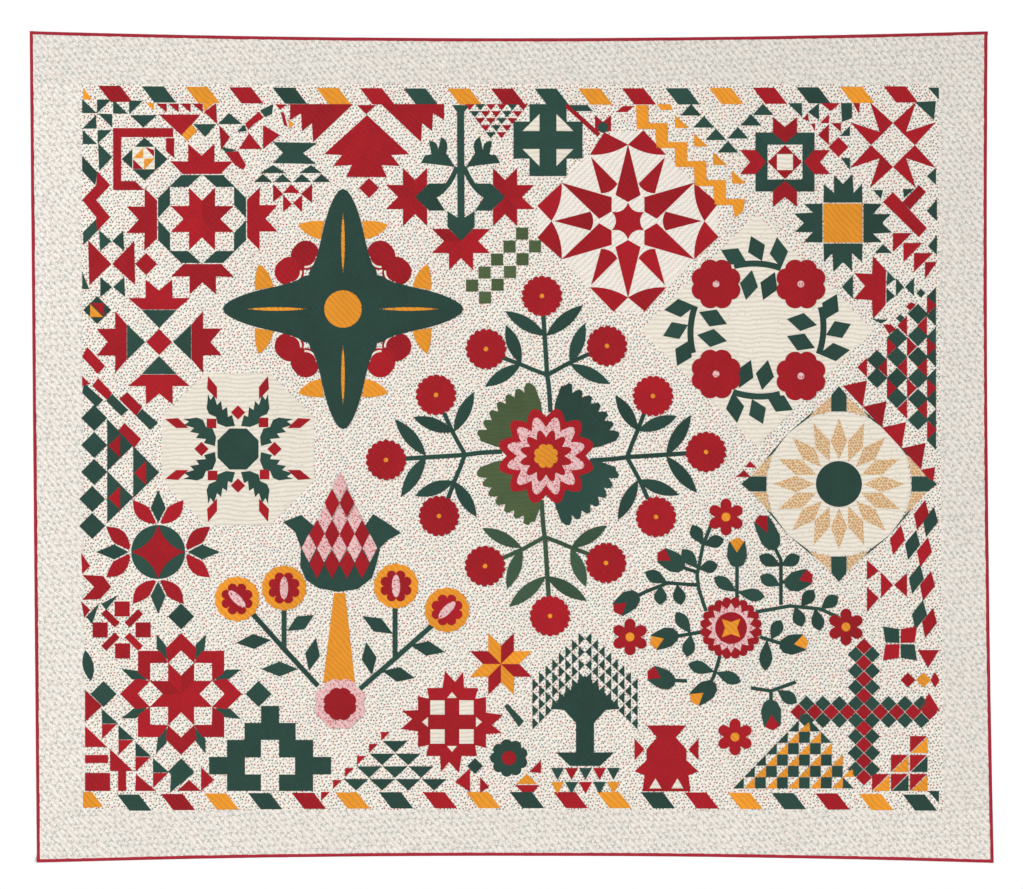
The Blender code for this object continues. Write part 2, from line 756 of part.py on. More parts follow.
def oak_cross():
    """Four long rounded arms with notched shoulders."""
    centre = (-16.8, 13.8)
    arm = [(-3.3, 0.0), (-3.3, 3.6), (-2.5, 3.6), (-1.7, 8.9), (-1.1, 10.8), (-0.6, 11.8)]
    arm += [(0.0, 12.1)] + [(-a, b) for a, b in reversed(arm)]
    outline = [(centre[0] + a, centre[1] + b) for a, b in arm]
    return [turned(outline, centre, q) for q in range(4)]


def oak_cross_petals():
    """Curled petals tucked between the arms, as two crossed pieces under the cross."""
    centre = (-16.8, 13.8)
    arm = [(0.0, 0.0), (3.2, 2.2), (5.0, 5.6), (5.6, 8.4), (3.5, 6.6), (2.0, 6.4)]
    outline = [(centre[0] + a, centre[1] + b) for a, b in arm]
    other = [(centre[0] - a, centre[1] + b) for a, b in arm]
    both = [outline, other]
    return [disc(*centre, 2.0)] + [turned(o, centre, q) for o in both for q in range(4)]


def lily_spray():
    """A stem with leaves, curved branches and three star flowers."""
    out = [bar((-5.2, 33.4), (-5.2, 21.5), 0.8)]
    out += [leaf((-5.2, 28.2), (-9.0, 29.6), 1.6), leaf((-5.2, 28.2), (-1.7, 29.7), 1.6)]
    out += [leaf((-5.2, 28.3), (-6.9, 31.1), 1.1), leaf((-5.2, 28.3), (-3.4, 31.1), 1.1)]
    out += strip([(-5.2, 28.0), (-7.3, 25.9), (-8.2, 25.0)], 0.5)
    out += strip([(-5.2, 28.0), (-3.1, 25.9), (-2.0, 25.0)], 0.5)
    for x, z in ((-9.6, 25.0), (-0.7, 25.0), (-5.2, 20.6)):
        out.append(star(x, z, 3.1, 1.7, 8, 22.5))
    return out


def rose_wreath():
    """A ring of stem with four roses and rhombic leaves."""
    centre = (24.7, 11.7)
    out = []
    for quarter in range(4):
        stem = [(-3.4, 4.6), (-2.0, 6.2), (0.4, 6.6), (3.2, 5.4)]
        path = [(centre[0] + a, centre[1] + b) for a, b in stem]
        out += strip(turned(path, centre, quarter), 0.75)
        leaves = [((-1.9, 6.1), (-3.6, 8.2)), ((-0.9, 6.3), (-0.3, 9.3))]
        leaves += [((1.3, 6.1), (2.0, 9.0)), ((-0.6, 6.2), (-1.0, 3.2))]
        leaves += [((1.2, 6.3), (0.8, 3.1))]
        for base, tip in leaves:
            ends = [(centre[0] + a, centre[1] + b) for a, b in (base, tip)]
            out.append(leaf(*turned(ends, centre, quarter), 1.3))
        rose = turned([(centre[0] + 4.3, centre[1] + 4.5)], centre, quarter)[0]
        out.append(disc(*rose, 2.3, 14))
    return out


def centre_spray():
    """Four branching stems with leaves and round flowers, crossing under the rose."""
    centre = (3.5, -0.9)
    out = []
    for quarter in range(4):
        stem = [(0.0, 0.0), (0.3, 8.0), (0.0, 14.2)]
        left = [(0.3, 8.0), (-2.3, 9.4), (-4.4, 10.1)]
        right = [(0.3, 8.0), (2.6, 9.4), (4.4, 10.2)]
        for path in (stem, left, right):
            moved = [(centre[0] + a, centre[1] + b) for a, b in path]
            out += strip(turned(moved, centre, quarter), 0.45)
        leaves = [((0.1, 12.6), (-3.8, 14.8)), ((0.1, 12.6), (3.5, 15.2))]
        leaves += [((-2.1, 9.4), (-3.7, 13.2)), ((2.3, 9.4), (4.0, 13.6))]
        leaves += [((-2.1, 9.4), (-5.6, 7.0)), ((2.3, 9.4), (6.6, 7.4))]
        for base, tip in leaves:
            ends = [(centre[0] + a, centre[1] + b) for a, b in (base, tip)]
            out.append(leaf(*turned(ends, centre, quarter), 1.0))
        for flower in ((0.0, 16.1), (-6.1, 10.5), (6.1, 11.0)):
            spot = turned([(centre[0] + flower[0], centre[1] + flower[1])], centre, quarter)[0]
            out.append(disc(*spot, 2.0, 12))
    return out


def oak_leaves():
    """Four broad scalloped leaves that meet under the rose."""
    centre = (3.5, -0.9)
    lobe = [(0.0, 0.0), (1.3, 6.9), (2.7, 7.2), (4.4, 6.8), (6.4, 6.0), (7.0, 4.4), (7.2, 2.6)]
    lobe += [(6.9, 1.2)]
    outline = [(centre[0] + a, centre[1] + b) for a, b in lobe]
    return [disc(*centre, 1.5, 16)] + [turned(outline, centre, q) for q in range(4)]


def tulip_pot():
    """A tall base with a tulip bowl, flame of diamonds and side flowers on stems."""
    axis = -16.9
    bowl = [(-5.7, -7.5), (-3.9, -6.8), (-2.7, -7.8), (-2.2, -9.6), (2.2, -9.6), (2.9, -7.8)]
    bowl += [(4.1, -6.8), (5.8, -8.7), (4.6, -9.3), (4.0, -11.5), (2.9, -13.5), (0.3, -14.5)]
    bowl += [(-1.9, -14.1), (-3.2, -12.9), (-3.6, -10.1), (-4.4, -8.5)]
    flame = [(0.0, -2.4), (3.5, -10.0), (2.2, -13.0), (-2.2, -13.0), (-3.5, -10.0)]
    base = [(-0.5, -14.0), (0.6, -14.0), (1.7, -23.8), (-1.6, -23.8)]
    out = [[(axis + a, z) for a, z in shape] for shape in (bowl, flame, base)]
    out.append(disc(axis, -25.7, 2.6, 16))
    for side in (-1.0, 1.0):
        paths = [[(1.0, -24.1), (8.9, -16.5)], [(5.5, -20.8), (5.6, -15.8)]]
        for path in paths:
            out += strip([(axis + side * a, z) for a, z in path], 0.5)
        for spot in ((10.4, -15.7), (5.6, -14.1)):
            out.append(disc(axis + side * spot[0], spot[1], 2.2, 12))
        leaves = [((8.2, -17.2), (10.6, -20.5)), ((6.4, -18.9), (3.6, -16.4))]
        leaves += [((4.6, -20.6), (8.0, -22.6)), ((3.4, -21.8), (2.9, -19.0))]
        for (ax, az), (bx, bz) in leaves:
            out.append(leaf((axis + side * ax, az), (axis + side * bx, bz), 1.1))
    return out


def rose_vine():
    """Curved stems with leaves, buds and six-petalled flowers around one rose."""
    rose = (22.0, -18.1)
    out = [disc(*rose, 3.0, 20)]
    stems = [
        [(22.0, -18.1), (19.5, -16.4), (18.8, -14.3), (18.6, -12.8), (19.2, -9.8), (20.1, -7.6)],
        [(18.6, -13.8), (15.7, -13.6), (13.4, -14.5), (11.9, -15.3)],
        [(22.0, -18.1), (22.6, -11.8), (22.6, -11.0)],
        [(22.0, -18.1), (27.0, -15.8), (27.0, -11.3), (26.0, -9.3), (25.3, -8.1)],
        [(22.0, -18.1), (27.9, -15.9), (30.9, -16.2), (32.7, -17.0), (33.4, -17.9)],
        [(22.0, -18.1), (24.5, -19.5), (27.9, -19.8)],
        [(22.0, -18.1), (20.3, -22.9), (19.6, -24.3)],
        [(22.0, -18.1), (16.7, -18.9), (15.7, -19.0)],
    ]
    for path in stems:
        out += strip(path, 0.5)
    leaves = [
        ((18.9, -10.5), (18.1, -7.8)), ((19.6, -8.6), (21.3, -9.2)), ((18.8, -11.6), (17.1, -10.2)),
        ((18.7, -13.0), (20.7, -11.8)), ((14.0, -14.2), (13.4, -12.5)), ((14.9, -13.8), (14.9, -15.8)),
        ((17.0, -13.7), (17.0, -15.8)), ((22.5, -14.8), (20.3, -13.0)), ((22.5, -14.8), (25.4, -15.0)),
        ((26.7, -10.6), (24.8, -10.9)), ((26.8, -10.6), (28.9, -10.9)), ((27.0, -13.0), (24.9, -12.9)),
        ((29.6, -16.0), (30.3, -14.3)), ((31.4, -16.4), (32.7, -14.9)), ((29.9, -16.1), (29.1, -18.0)),
        ((31.1, -16.3), (30.9, -18.4)), ((25.3, -19.5), (27.0, -17.3)), ((23.6, -19.2), (25.4, -22.4)),
        ((20.6, -22.0), (17.7, -21.7)), ((20.5, -22.2), (23.0, -23.5)), ((18.5, -18.5), (16.5, -16.5)),
        ((18.5, -18.7), (17.6, -21.0)),
    ]
    for base, tip in leaves:
        out.append(leaf(base, tip, 0.9))
    for x, z in ((21.5, -7.0), (33.5, -18.0), (11.9, -19.0)):
        out.append(disc(x, z, 1.5, 12))
    out += strip([(12.4, -18.9), (16.0, -19.0)], 0.5)
    for x, z in ((11.6, -15.4), (22.6, -10.6), (25.2, -7.9), (28.3, -19.9), (19.3, -24.6)):
        out.append(disc(x, z, 1.0, 9))
    return out


def build_applique():
    """The applique motifs, laid on the ground in layers."""
    motif("four_flower_block", four_flower(), "red")
    motif("melon_flower", melon_flower(), "green")
    motif("feathered_star", feathered_star(), "green")
    motif("oak_cross_petals", oak_cross_petals(), "red")
    motif("oak_cross", oak_cross(), "green", 2)
    motif("oak_cross_disc", [disc(-16.8, 13.8, 1.9)], "orange", 3)
    motif("lily_spray", lily_spray(), "green")
    motif("rose_wreath", rose_wreath(), "green")
    motif("centre_spray", centre_spray(), "green")
    motif("centre_oak_leaves", oak_leaves(), "green", 2)
    motif("centre_rose", [star(3.5, -0.9, 4.6, 3.8, 12)], "red", 3)
    motif("centre_rose_ring", [star(3.5, -0.9, 3.7, 2.6, 12)], "pink", 4)
    motif("tulip_pot", tulip_pot(), "orange")
    motif("rose_vine", rose_vine(), "green")
    motif("eight_point_star", [star(-1.0, -21.7, 3.2, 1.7, 8, 112.5)], "orange", 2)


build_sandwich()
build_bindings()
build_sleeve()
build_hanger()
build_blocks()
build_applique()
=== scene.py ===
"""Looks for a pieced and applique sampler quilt that hangs from a hidden slat.

The quilt hangs in the XZ plane and its front faces -Y. Blocks are drafted in inches from the
middle of the quilt, as a quilter drafts them, and meshed in metres in the row frame.
"""

import logging
import math
from collections.abc import Callable, Iterable, Sequence
from dataclasses import dataclass, field
from enum import Enum

import bpy
import numpy as np
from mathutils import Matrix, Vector
from mathutils.geometry import delaunay_2d_cdt


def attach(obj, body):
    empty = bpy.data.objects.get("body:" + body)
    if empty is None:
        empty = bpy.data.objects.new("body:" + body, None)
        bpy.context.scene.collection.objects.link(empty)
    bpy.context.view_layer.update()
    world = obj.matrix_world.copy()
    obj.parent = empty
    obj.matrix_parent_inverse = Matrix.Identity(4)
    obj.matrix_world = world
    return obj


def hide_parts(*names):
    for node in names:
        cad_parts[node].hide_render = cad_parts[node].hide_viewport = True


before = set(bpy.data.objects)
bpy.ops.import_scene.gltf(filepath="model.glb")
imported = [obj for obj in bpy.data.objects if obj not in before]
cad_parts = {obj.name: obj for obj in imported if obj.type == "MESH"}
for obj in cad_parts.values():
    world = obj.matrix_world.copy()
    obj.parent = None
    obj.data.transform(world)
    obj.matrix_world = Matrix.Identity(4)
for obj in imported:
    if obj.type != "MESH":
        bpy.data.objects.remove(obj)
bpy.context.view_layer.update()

logging.basicConfig(level=logging.INFO, format="%(message)s")
LOG = logging.getLogger("quilt")

INCH = 0.0254
HANG_LINE = 38.0
QUILTING_PITCH = 0.0115
THREAD_PITCH = 0.0009
STITCH_RATE = 1900.0
PUFF_HEIGHT, THREAD_HEIGHT, SLUB_HEIGHT = 0.0011, 0.00007, 0.0015
FULL_TURN = 6.28
LEAST_COVER = 0.3
QUILT = "quilt"
HANGER = "hanger"

Point = tuple[float, float]
Outline = list[Point]
Colour = tuple[float, float, float]


# Sizes that the looks share with the solids


@dataclass(frozen=True)
class QuiltSize:
    """The quilt's own sizes, in inches from its middle, and its depths in metres."""

    half_width: float = 47.8
    half_height: float = 40.9
    edge_rise: float = 0.7
    field_half_width: float = 42.8
    field_half_height: float = 36.3
    backing_back: float = 0.0235
    ground_front: float = 0.0275
    level: float = 0.0004

    def top_edge(self, x: np.ndarray) -> np.ndarray:
        """Height of the top edge, which dips in the middle."""
        return self.half_height + self.edge_rise * (x / self.half_width) ** 2

    def bottom_edge(self, x: np.ndarray) -> np.ndarray:
        """Height of the bottom edge, which rises in the middle."""
        return -self.top_edge(x)

    def left_edge(self, z: np.ndarray) -> np.ndarray:
        """Place of the left edge, which leans out towards the top."""
        return -self.half_width - 0.35 * (z / self.half_height)

    def right_edge(self, z: np.ndarray) -> np.ndarray:
        """Place of the right edge, which leans out towards the bottom."""
        u = z / self.half_height
        return self.half_width - 0.12 - 0.3 * u + 0.3 * u * u


@dataclass(frozen=True)
class HangerSize:
    """The hidden sleeve's sizes, in metres."""

    sleeve_length: float = 1.94024
    sleeve_drop: float = 0.062


SIZE = QuiltSize()
HANG = HangerSize()


# The cloth's relief


def eased(share: np.ndarray) -> np.ndarray:
    """A share from 0 to 1 with soft ends."""
    return share * share * (3.0 - 2.0 * share)


class Relief:
    """How the hung quilt stands off a flat plane: ripples, puckers and quilting puffs.

    Its class values are in metres, apart from the table's size and the offsets into it.
    """

    ripple_start = -0.03
    ripple_ramp = 0.6
    puffs = ((0.013, 0.00066), (0.036, 0.00080), (0.11, 0.0009))
    wander = (0.05, 0.0016)
    ridge = 0.0003
    table_size = 128
    offsets = (512.3, 512.7)

    def __init__(self, seed: int = 7) -> None:
        """Draws the ripples once.

        Args:
            seed: the random seed, so that every run gives the same cloth.
        """
        draw = np.random.default_rng(seed)
        self.waves = [
            (draw.uniform(5.0, 15.0), draw.uniform(-2.5, 2.5), draw.uniform(0.0, FULL_TURN))
            for _ in range(6)
        ]
        self.heights = draw.uniform(0.0004, 0.0010, 6)
        self.tables = [draw.random((self.table_size, self.table_size)) for _ in self.puffs]

    def noise(self, x: np.ndarray, z: np.ndarray, cell: float, table: int) -> np.ndarray:
        """Smooth value noise from -1 to 1.

        Args:
            x: places across, in metres.
            z: places up, in metres.
            cell: the noise's cell size in metres.
            table: which table of random values to read.

        Returns:
            One value per place.
        """
        u, v = x / cell + self.offsets[0], z / cell + self.offsets[1]
        i, j = np.floor(u).astype(int), np.floor(v).astype(int)
        a, b = eased(u - i), eased(v - j)
        t, size = self.tables[table], self.table_size
        i, j, right, up = i % size, j % size, (i + 1) % size, (j + 1) % size
        low = t[i, j] * (1.0 - a) + t[right, j] * a
        high = t[i, up] * (1.0 - a) + t[right, up] * a
        return 2.0 * (low * (1.0 - b) + high * b) - 1.0

    def ripple(self, x: np.ndarray, z: np.ndarray) -> np.ndarray:
        """The slow ripples of the hang, which fade out at the slat, in metres."""
        ramp = eased(np.clip((self.ripple_start - z) / self.ripple_ramp, 0.0, 1.0))
        total = np.zeros_like(x)
        for (kx, kz, phase), height in zip(self.waves, self.heights):
            total += height * np.sin(kx * x + kz * z + phase)
        return total * ramp

    def pucker(self, x: np.ndarray, z: np.ndarray) -> np.ndarray:
        """The small hollows and puffs between quilting lines, in metres."""
        total = np.zeros_like(x)
        for i, (cell, height) in enumerate(self.puffs):
            total = total + self.noise(x, z, cell, i) * height
        cell, sway = self.wander
        along = (x + z) * 0.70711 + self.noise(x, z, cell, 1) * sway
        return total + np.abs(np.sin(math.pi * along / QUILTING_PITCH)) * self.ridge

    def at(self, x: np.ndarray, z: np.ndarray) -> np.ndarray:
        """How far the cloth stands towards the viewer, in metres."""
        return self.ripple(x, z) + self.pucker(x, z)


RELIEF = Relief()


# Fabrics


def srgb(red: int, green: int, blue: int) -> Colour:
    """A linear colour from the three values that a screen shows."""
    return tuple(
        c / 12.92 if c <= 0.04045 else ((c + 0.055) / 1.055) ** 2.4
        for c in (red / 255.0, green / 255.0, blue / 255.0)
    )


class Print(Enum):
    """What is printed on a fabric."""

    PLAIN = "plain"
    DOTS = "dots"
    SPRIGS = "sprigs"
    SPECKS = "specks"
    CHECK = "check"


class Nodes:
    """Short ways to add shader nodes to one material."""

    def __init__(self, tree: bpy.types.NodeTree) -> None:
        """Keeps the tree that the nodes are added to."""
        self.tree = tree

    def add(self, kind: str, **settings: object) -> bpy.types.Node:
        """A new node with these properties set."""
        node = self.tree.nodes.new(kind)
        for name, value in settings.items():
            setattr(node, name, value)
        return node

    def feed(self, socket: bpy.types.NodeSocket, value: object) -> None:
        """Links a socket to another, or sets its constant."""
        if isinstance(value, bpy.types.NodeSocket):
            self.tree.links.new(value, socket)
        else:
            socket.default_value = value

    def maths(self, operation: str, *values: object) -> bpy.types.NodeSocket:
        """The result of a Math node."""
        node = self.add("ShaderNodeMath", operation=operation)
        for socket, value in zip(node.inputs, values):
            self.feed(socket, value)
        return node.outputs[0]

    def vector(self, operation: str, *values: object) -> bpy.types.Node:
        """A Vector Math node with its inputs set."""
        node = self.add("ShaderNodeVectorMath", operation=operation)
        for socket, value in zip(node.inputs, values):
            self.feed(socket, value)
        return node

    def mix(self, share: object, first: object, second: object) -> bpy.types.NodeSocket:
        """A colour between two, by share."""
        node = self.add("ShaderNodeMix", data_type="RGBA")
        for index, value in ((0, share), (6, first), (7, second)):
            if isinstance(value, tuple) and len(value) == 3:
                value = (*value, 1.0)
            self.feed(node.inputs[index], value)
        return node.outputs[2]

    def noise(self, place: object, scale: float, detail: float = 2.0) -> bpy.types.NodeSocket:
        """Noise from 0 to 1 with that scale per metre."""
        node = self.add("ShaderNodeTexNoise")
        self.feed(node.inputs["Vector"], place)
        node.inputs["Scale"].default_value = scale
        node.inputs["Detail"].default_value = detail
        return node.outputs["Fac"]

    def steps(self, value: object, low: float, high: float) -> bpy.types.NodeSocket:
        """0 under low, 1 over high and smooth between them."""
        node = self.add("ShaderNodeMapRange", interpolation_type="SMOOTHSTEP")
        self.feed(node.inputs["Value"], value)
        node.inputs["From Min"].default_value = low
        node.inputs["From Max"].default_value = high
        return node.outputs[0]


STITCH_COLOUR = srgb(236, 228, 212)


def new_material(name: str) -> tuple[bpy.types.Material, Nodes, bpy.types.Node, object]:
    """A material with its node helper, its shader and the object coordinates."""
    mat = bpy.data.materials.new(name)
    mat.use_nodes = True
    nodes = Nodes(mat.node_tree)
    place = nodes.add("ShaderNodeTexCoord").outputs["Object"]
    return mat, nodes, mat.node_tree.nodes["Principled BSDF"], place


@dataclass(frozen=True)
class Fabric:
    """One cotton and how it is printed and quilted.

    Args:
        name: the material's name.
        colour: the ground colour.
        slot: the record's material slot; not used.
        style: what is printed on it.
        inks: the print's colours.
        pitch: the print's repeat in metres.
        mark: the size of one printed mark in metres.
        fade: how strongly the colour varies from place to place.
        quilt_angle: the direction of the quilting lines in degrees.
        stray: how far printed marks wander in their repeat.
    """

    name: str
    colour: Colour
    slot: str
    style: Print = Print.PLAIN
    inks: tuple[Colour, ...] = ()
    pitch: float = 0.0095
    mark: float = 0.0016
    fade: float = 0.14
    quilt_angle: float = 45.0
    stray: float = 0.45

    def lattice(self, nodes: Nodes, x: object, z: object, turn: float) -> tuple:
        """A half-drop lattice of printed marks.

        Args:
            nodes: the node helper.
            x: places across.
            z: places up.
            turn: how far the lattice is turned, in radians.

        Returns:
            The offset across and up from the nearest mark, and a random value per mark.
        """
        c, s = math.cos(turn) / self.pitch, math.sin(turn) / self.pitch
        u = nodes.maths("ADD", nodes.maths("MULTIPLY", x, c), nodes.maths("MULTIPLY", z, s))
        v = nodes.maths("SUBTRACT", nodes.maths("MULTIPLY", z, c), nodes.maths("MULTIPLY", x, s))
        row = nodes.maths("FLOOR", v)
        shift = nodes.maths("MULTIPLY", nodes.maths("MODULO", row, 2.0), 0.5)
        u = nodes.maths("ADD", u, shift)
        column = nodes.maths("FLOOR", u)
        cell = nodes.add("ShaderNodeCombineXYZ")
        nodes.feed(cell.inputs[0], column)
        nodes.feed(cell.inputs[1], row)
        white = nodes.add("ShaderNodeTexWhiteNoise", noise_dimensions="3D")
        nodes.feed(white.inputs["Vector"], cell.outputs[0])
        stray = nodes.add("ShaderNodeSeparateColor")
        nodes.feed(stray.inputs[0], white.outputs["Color"])
        middle = [nodes.maths("MULTIPLY_ADD", stray.outputs[i], self.stray, 0.5 - self.stray / 2.0)
                  for i in range(2)]
        across = nodes.maths("SUBTRACT", nodes.maths("SUBTRACT", u, column), middle[0])
        up = nodes.maths("SUBTRACT", nodes.maths("SUBTRACT", v, row), middle[1])
        return across, up, white.outputs["Value"]

    def ink(self, nodes: Nodes, pick: object) -> bpy.types.NodeSocket:
        """One of the inks, by a value from 0 to 1."""
        ramp = nodes.add("ShaderNodeValToRGB")
        ramp.color_ramp.interpolation = "CONSTANT"
        inks = self.inks or (self.colour,)
        while len(ramp.color_ramp.elements) < len(inks):
            ramp.color_ramp.elements.new(0.5)
        while len(ramp.color_ramp.elements) > len(inks):
            ramp.color_ramp.elements.remove(ramp.color_ramp.elements[-1])
        for i, colour in enumerate(inks):
            ramp.color_ramp.elements[i].position = i / len(inks)
            ramp.color_ramp.elements[i].color = (*colour, 1.0)
        nodes.feed(ramp.inputs[0], pick)
        return ramp.outputs[0]

    def printed(self, nodes: Nodes, base: object, place: object, x: object, z: object) -> object:
        """The base colour with the print laid over it.

        Args:
            nodes: the node helper.
            base: the cloth's colour before printing.
            place: the object coordinates.
            x: places across.
            z: places up.

        Returns:
            The printed colour.
        """
        if self.style is Print.PLAIN:
            return base
        across, up, pick = self.lattice(nodes, x, z, 0.05)
        far = nodes.maths("SQRT", nodes.maths("ADD", nodes.maths("MULTIPLY", across, across),
                                              nodes.maths("MULTIPLY", up, up)))
        size = self.mark / self.pitch
        if self.style is Print.DOTS:
            dot = nodes.maths("SUBTRACT", 1.0, nodes.steps(far, size * 0.7, size * 1.15))
            return nodes.mix(dot, base, self.ink(nodes, pick))
        if self.style is Print.CHECK:
            wide = nodes.maths("MAXIMUM", nodes.maths("ABSOLUTE", across),
                               nodes.maths("ABSOLUTE", up))
            square = nodes.maths("SUBTRACT", 1.0, nodes.steps(wide, size * 0.8, size * 1.1))
            return nodes.mix(square, base, self.ink(nodes, pick))
        if self.style is Print.SPRIGS:
            turn = nodes.maths("MULTIPLY", pick, FULL_TURN)
            bearing = nodes.maths("ADD", nodes.maths("ARCTAN2", up, across), turn)
            petals = nodes.maths("COSINE", nodes.maths("MULTIPLY", bearing, 3.0))
            reach = nodes.maths("MULTIPLY_ADD", petals, size * 0.45, size)
            sprig = nodes.steps(nodes.maths("SUBTRACT", reach, far), 0.0, 0.06)
            worm = nodes.steps(nodes.noise(place, 330.0, 1.0), 0.56, 0.62)
            both = nodes.maths("MAXIMUM", nodes.maths("MULTIPLY", sprig, 0.9),
                               nodes.maths("MULTIPLY", worm, 0.5))
            return nodes.mix(both, base, self.ink(nodes, pick))
        specks = nodes.add("ShaderNodeTexVoronoi")
        nodes.feed(specks.inputs["Vector"], place)
        specks.inputs["Scale"].default_value = 1.0 / self.pitch
        near = nodes.maths("SUBTRACT", 1.0, nodes.steps(specks.outputs["Distance"],
                                                        size * 0.7, size * 1.2))
        split = nodes.add("ShaderNodeSeparateColor")
        nodes.feed(split.inputs[0], specks.outputs["Color"])
        return nodes.mix(near, base, self.ink(nodes, split.outputs[0]))

    def material(self) -> bpy.types.Material:
        """The fabric's material, made once."""
        known = bpy.data.materials.get(self.name)
        if known:
            return known
        mat, nodes, shader, place = new_material(self.name)
        split = nodes.add("ShaderNodeSeparateXYZ")
        nodes.feed(split.inputs[0], place)
        x, z = split.outputs[0], split.outputs[2]
        tone = nodes.add("ShaderNodeAttribute", attribute_name="tone").outputs["Fac"]
        broad = nodes.noise(place, 14.0, 3.0)
        fine = nodes.noise(place, 260.0, 3.0)
        tone_and_groove_shade = nodes.maths("MULTIPLY_ADD", nodes.maths("SUBTRACT", broad, 0.5), self.fade, 1.0)
        tone_and_groove_shade = nodes.maths("MULTIPLY_ADD", nodes.maths("SUBTRACT", fine, 0.5),
                            self.fade * 0.9, tone_and_groove_shade)
        tone_and_groove_shade = nodes.maths("MULTIPLY_ADD", nodes.maths("SUBTRACT", tone, 0.5),
                            self.fade * 0.8, tone_and_groove_shade)
        line, thread = self.quilting(nodes, place, x, z)
        # Painted shade: the colour darkens by about a fifth along each quilting line, where the
        # stitched groove would lie in shade; the rest of this factor is the dye's random tone.
        tone_and_groove_shade = nodes.maths("MULTIPLY", tone_and_groove_shade, nodes.maths("MULTIPLY_ADD", line, 0.24, 0.78))
        plain = nodes.vector("SCALE", (*self.colour,))
        nodes.feed(plain.inputs["Scale"], tone_and_groove_shade)
        colour = self.printed(nodes, plain.outputs[0], place, x, z)
        stitched = nodes.mix(nodes.maths("MULTIPLY", thread, 0.10), colour, STITCH_COLOUR)
        nodes.feed(shader.inputs["Base Color"], stitched)
        shader.inputs["Roughness"].default_value = 0.92
        shader.inputs["Specular IOR Level"].default_value = 0.18
        shader.inputs["Sheen Weight"].default_value = 0.06
        shader.inputs["Sheen Roughness"].default_value = 0.6
        weave = self.weave(nodes, x, z)
        height = nodes.maths("ADD", nodes.maths("MULTIPLY", line, PUFF_HEIGHT),
                             nodes.maths("MULTIPLY", weave, THREAD_HEIGHT))
        height = nodes.maths("ADD", height, nodes.maths("MULTIPLY", fine, SLUB_HEIGHT))
        bump = nodes.add("ShaderNodeBump")
        bump.inputs["Strength"].default_value = 0.75
        bump.inputs["Distance"].default_value = 1.0
        nodes.feed(bump.inputs["Height"], height)
        nodes.feed(shader.inputs["Normal"], bump.outputs[0])
        return mat

    def quilting(self, nodes: Nodes, place: object, x: object, z: object) -> tuple:
        """The puff between quilting lines, 0 on a line, and the dashes of thread on it."""
        turn = math.radians(self.quilt_angle)
        wander = nodes.maths("MULTIPLY", nodes.noise(place, 16.0, 2.0), 0.022)
        s = nodes.maths("ADD", nodes.maths("MULTIPLY", x, math.cos(turn)),
                        nodes.maths("MULTIPLY", z, math.sin(turn)))
        t = nodes.maths("SUBTRACT", nodes.maths("MULTIPLY", z, math.cos(turn)),
                        nodes.maths("MULTIPLY", x, math.sin(turn)))
        phase = nodes.maths("MULTIPLY", nodes.maths("ADD", s, wander), math.pi / QUILTING_PITCH)
        line = nodes.maths("ABSOLUTE", nodes.maths("SINE", phase))
        line = nodes.maths("POWER", line, 0.6)
        dash = nodes.steps(nodes.maths("SINE", nodes.maths("MULTIPLY", t, STITCH_RATE)), 0.0, 0.3)
        near = nodes.maths("SUBTRACT", 1.0, nodes.steps(line, 0.18, 0.3))
        return line, nodes.maths("MULTIPLY", near, dash)

    def weave(self, nodes: Nodes, x: object, z: object) -> bpy.types.NodeSocket:
        """The crossing threads of the cloth."""
        warp = nodes.maths("SINE", nodes.maths("MULTIPLY", x, 2.0 * math.pi / THREAD_PITCH))
        weft = nodes.maths("SINE", nodes.maths("MULTIPLY", z, 2.0 * math.pi / THREAD_PITCH))
        return nodes.maths("MULTIPLY", warp, weft)


RED_INK, GREEN_INK, BLUE_INK = srgb(176, 48, 58), srgb(70, 100, 84), srgb(120, 132, 148)
TAN_INK = srgb(178, 158, 132)


class Cottons:
    """The quilt's fabrics."""

    BORDER = Fabric("border_sprigs", srgb(238, 232, 223), "border_print", Print.SPRIGS,
                    (srgb(192, 186, 178), srgb(182, 184, 178), srgb(202, 192, 184)),
                    0.0160, 0.0043, 0.10, 45.0, 0.55)
    DOTTED = Fabric("dotted_ground", srgb(241, 235, 224), "ground_print", Print.DOTS,
                    (RED_INK, GREEN_INK, BLUE_INK, TAN_INK), 0.0081, 0.0021, 0.08, 135.0, 0.6)
    CREAM = Fabric("cream_ground", srgb(235, 227, 212), "ground_print", Print.SPECKS,
                   (srgb(214, 204, 184),), 0.011, 0.0020, 0.09, 90.0)
    ROSY = Fabric("rosy_ground", srgb(244, 236, 226), "ground_print", Print.DOTS,
                  (srgb(222, 176, 176), srgb(176, 196, 176)), 0.0066, 0.0011, 0.08, 135.0)
    RED = Fabric("red_cotton", srgb(163, 17, 30), "red_cloth", fade=0.34)
    BINDING = Fabric("binding_cotton", srgb(168, 34, 52), "red_cloth", fade=0.16)
    GREEN = Fabric("green_cotton", srgb(38, 70, 61), "green_cloth", fade=0.36)
    FADED = Fabric("faded_green_cotton", srgb(56, 82, 62), "green_cloth", fade=0.40)
    OLIVE = Fabric("olive_cotton", srgb(76, 94, 60), "green_cloth", fade=0.34,
                   quilt_angle=90.0)
    ORANGE = Fabric("orange_cotton", srgb(234, 150, 40), "orange_cloth", fade=0.20)
    PINK = Fabric("pink_print", srgb(232, 192, 192), "pink_cloth", Print.SPECKS,
                  (srgb(186, 56, 66), srgb(208, 110, 110)), 0.0062, 0.0021, 0.08)
    CHECK = Fabric("tan_check", srgb(226, 202, 166), "orange_cloth", Print.CHECK,
                   (srgb(206, 140, 74), srgb(196, 150, 96)), 0.0072, 0.0024, 0.08)
    BACKING = Fabric("backing_cotton", srgb(228, 222, 208), "backing_cloth", fade=0.09)
    WADDING = Fabric("cotton_wadding", srgb(240, 236, 226), "batting_wadding", fade=0.05)


# Outlines, in inches


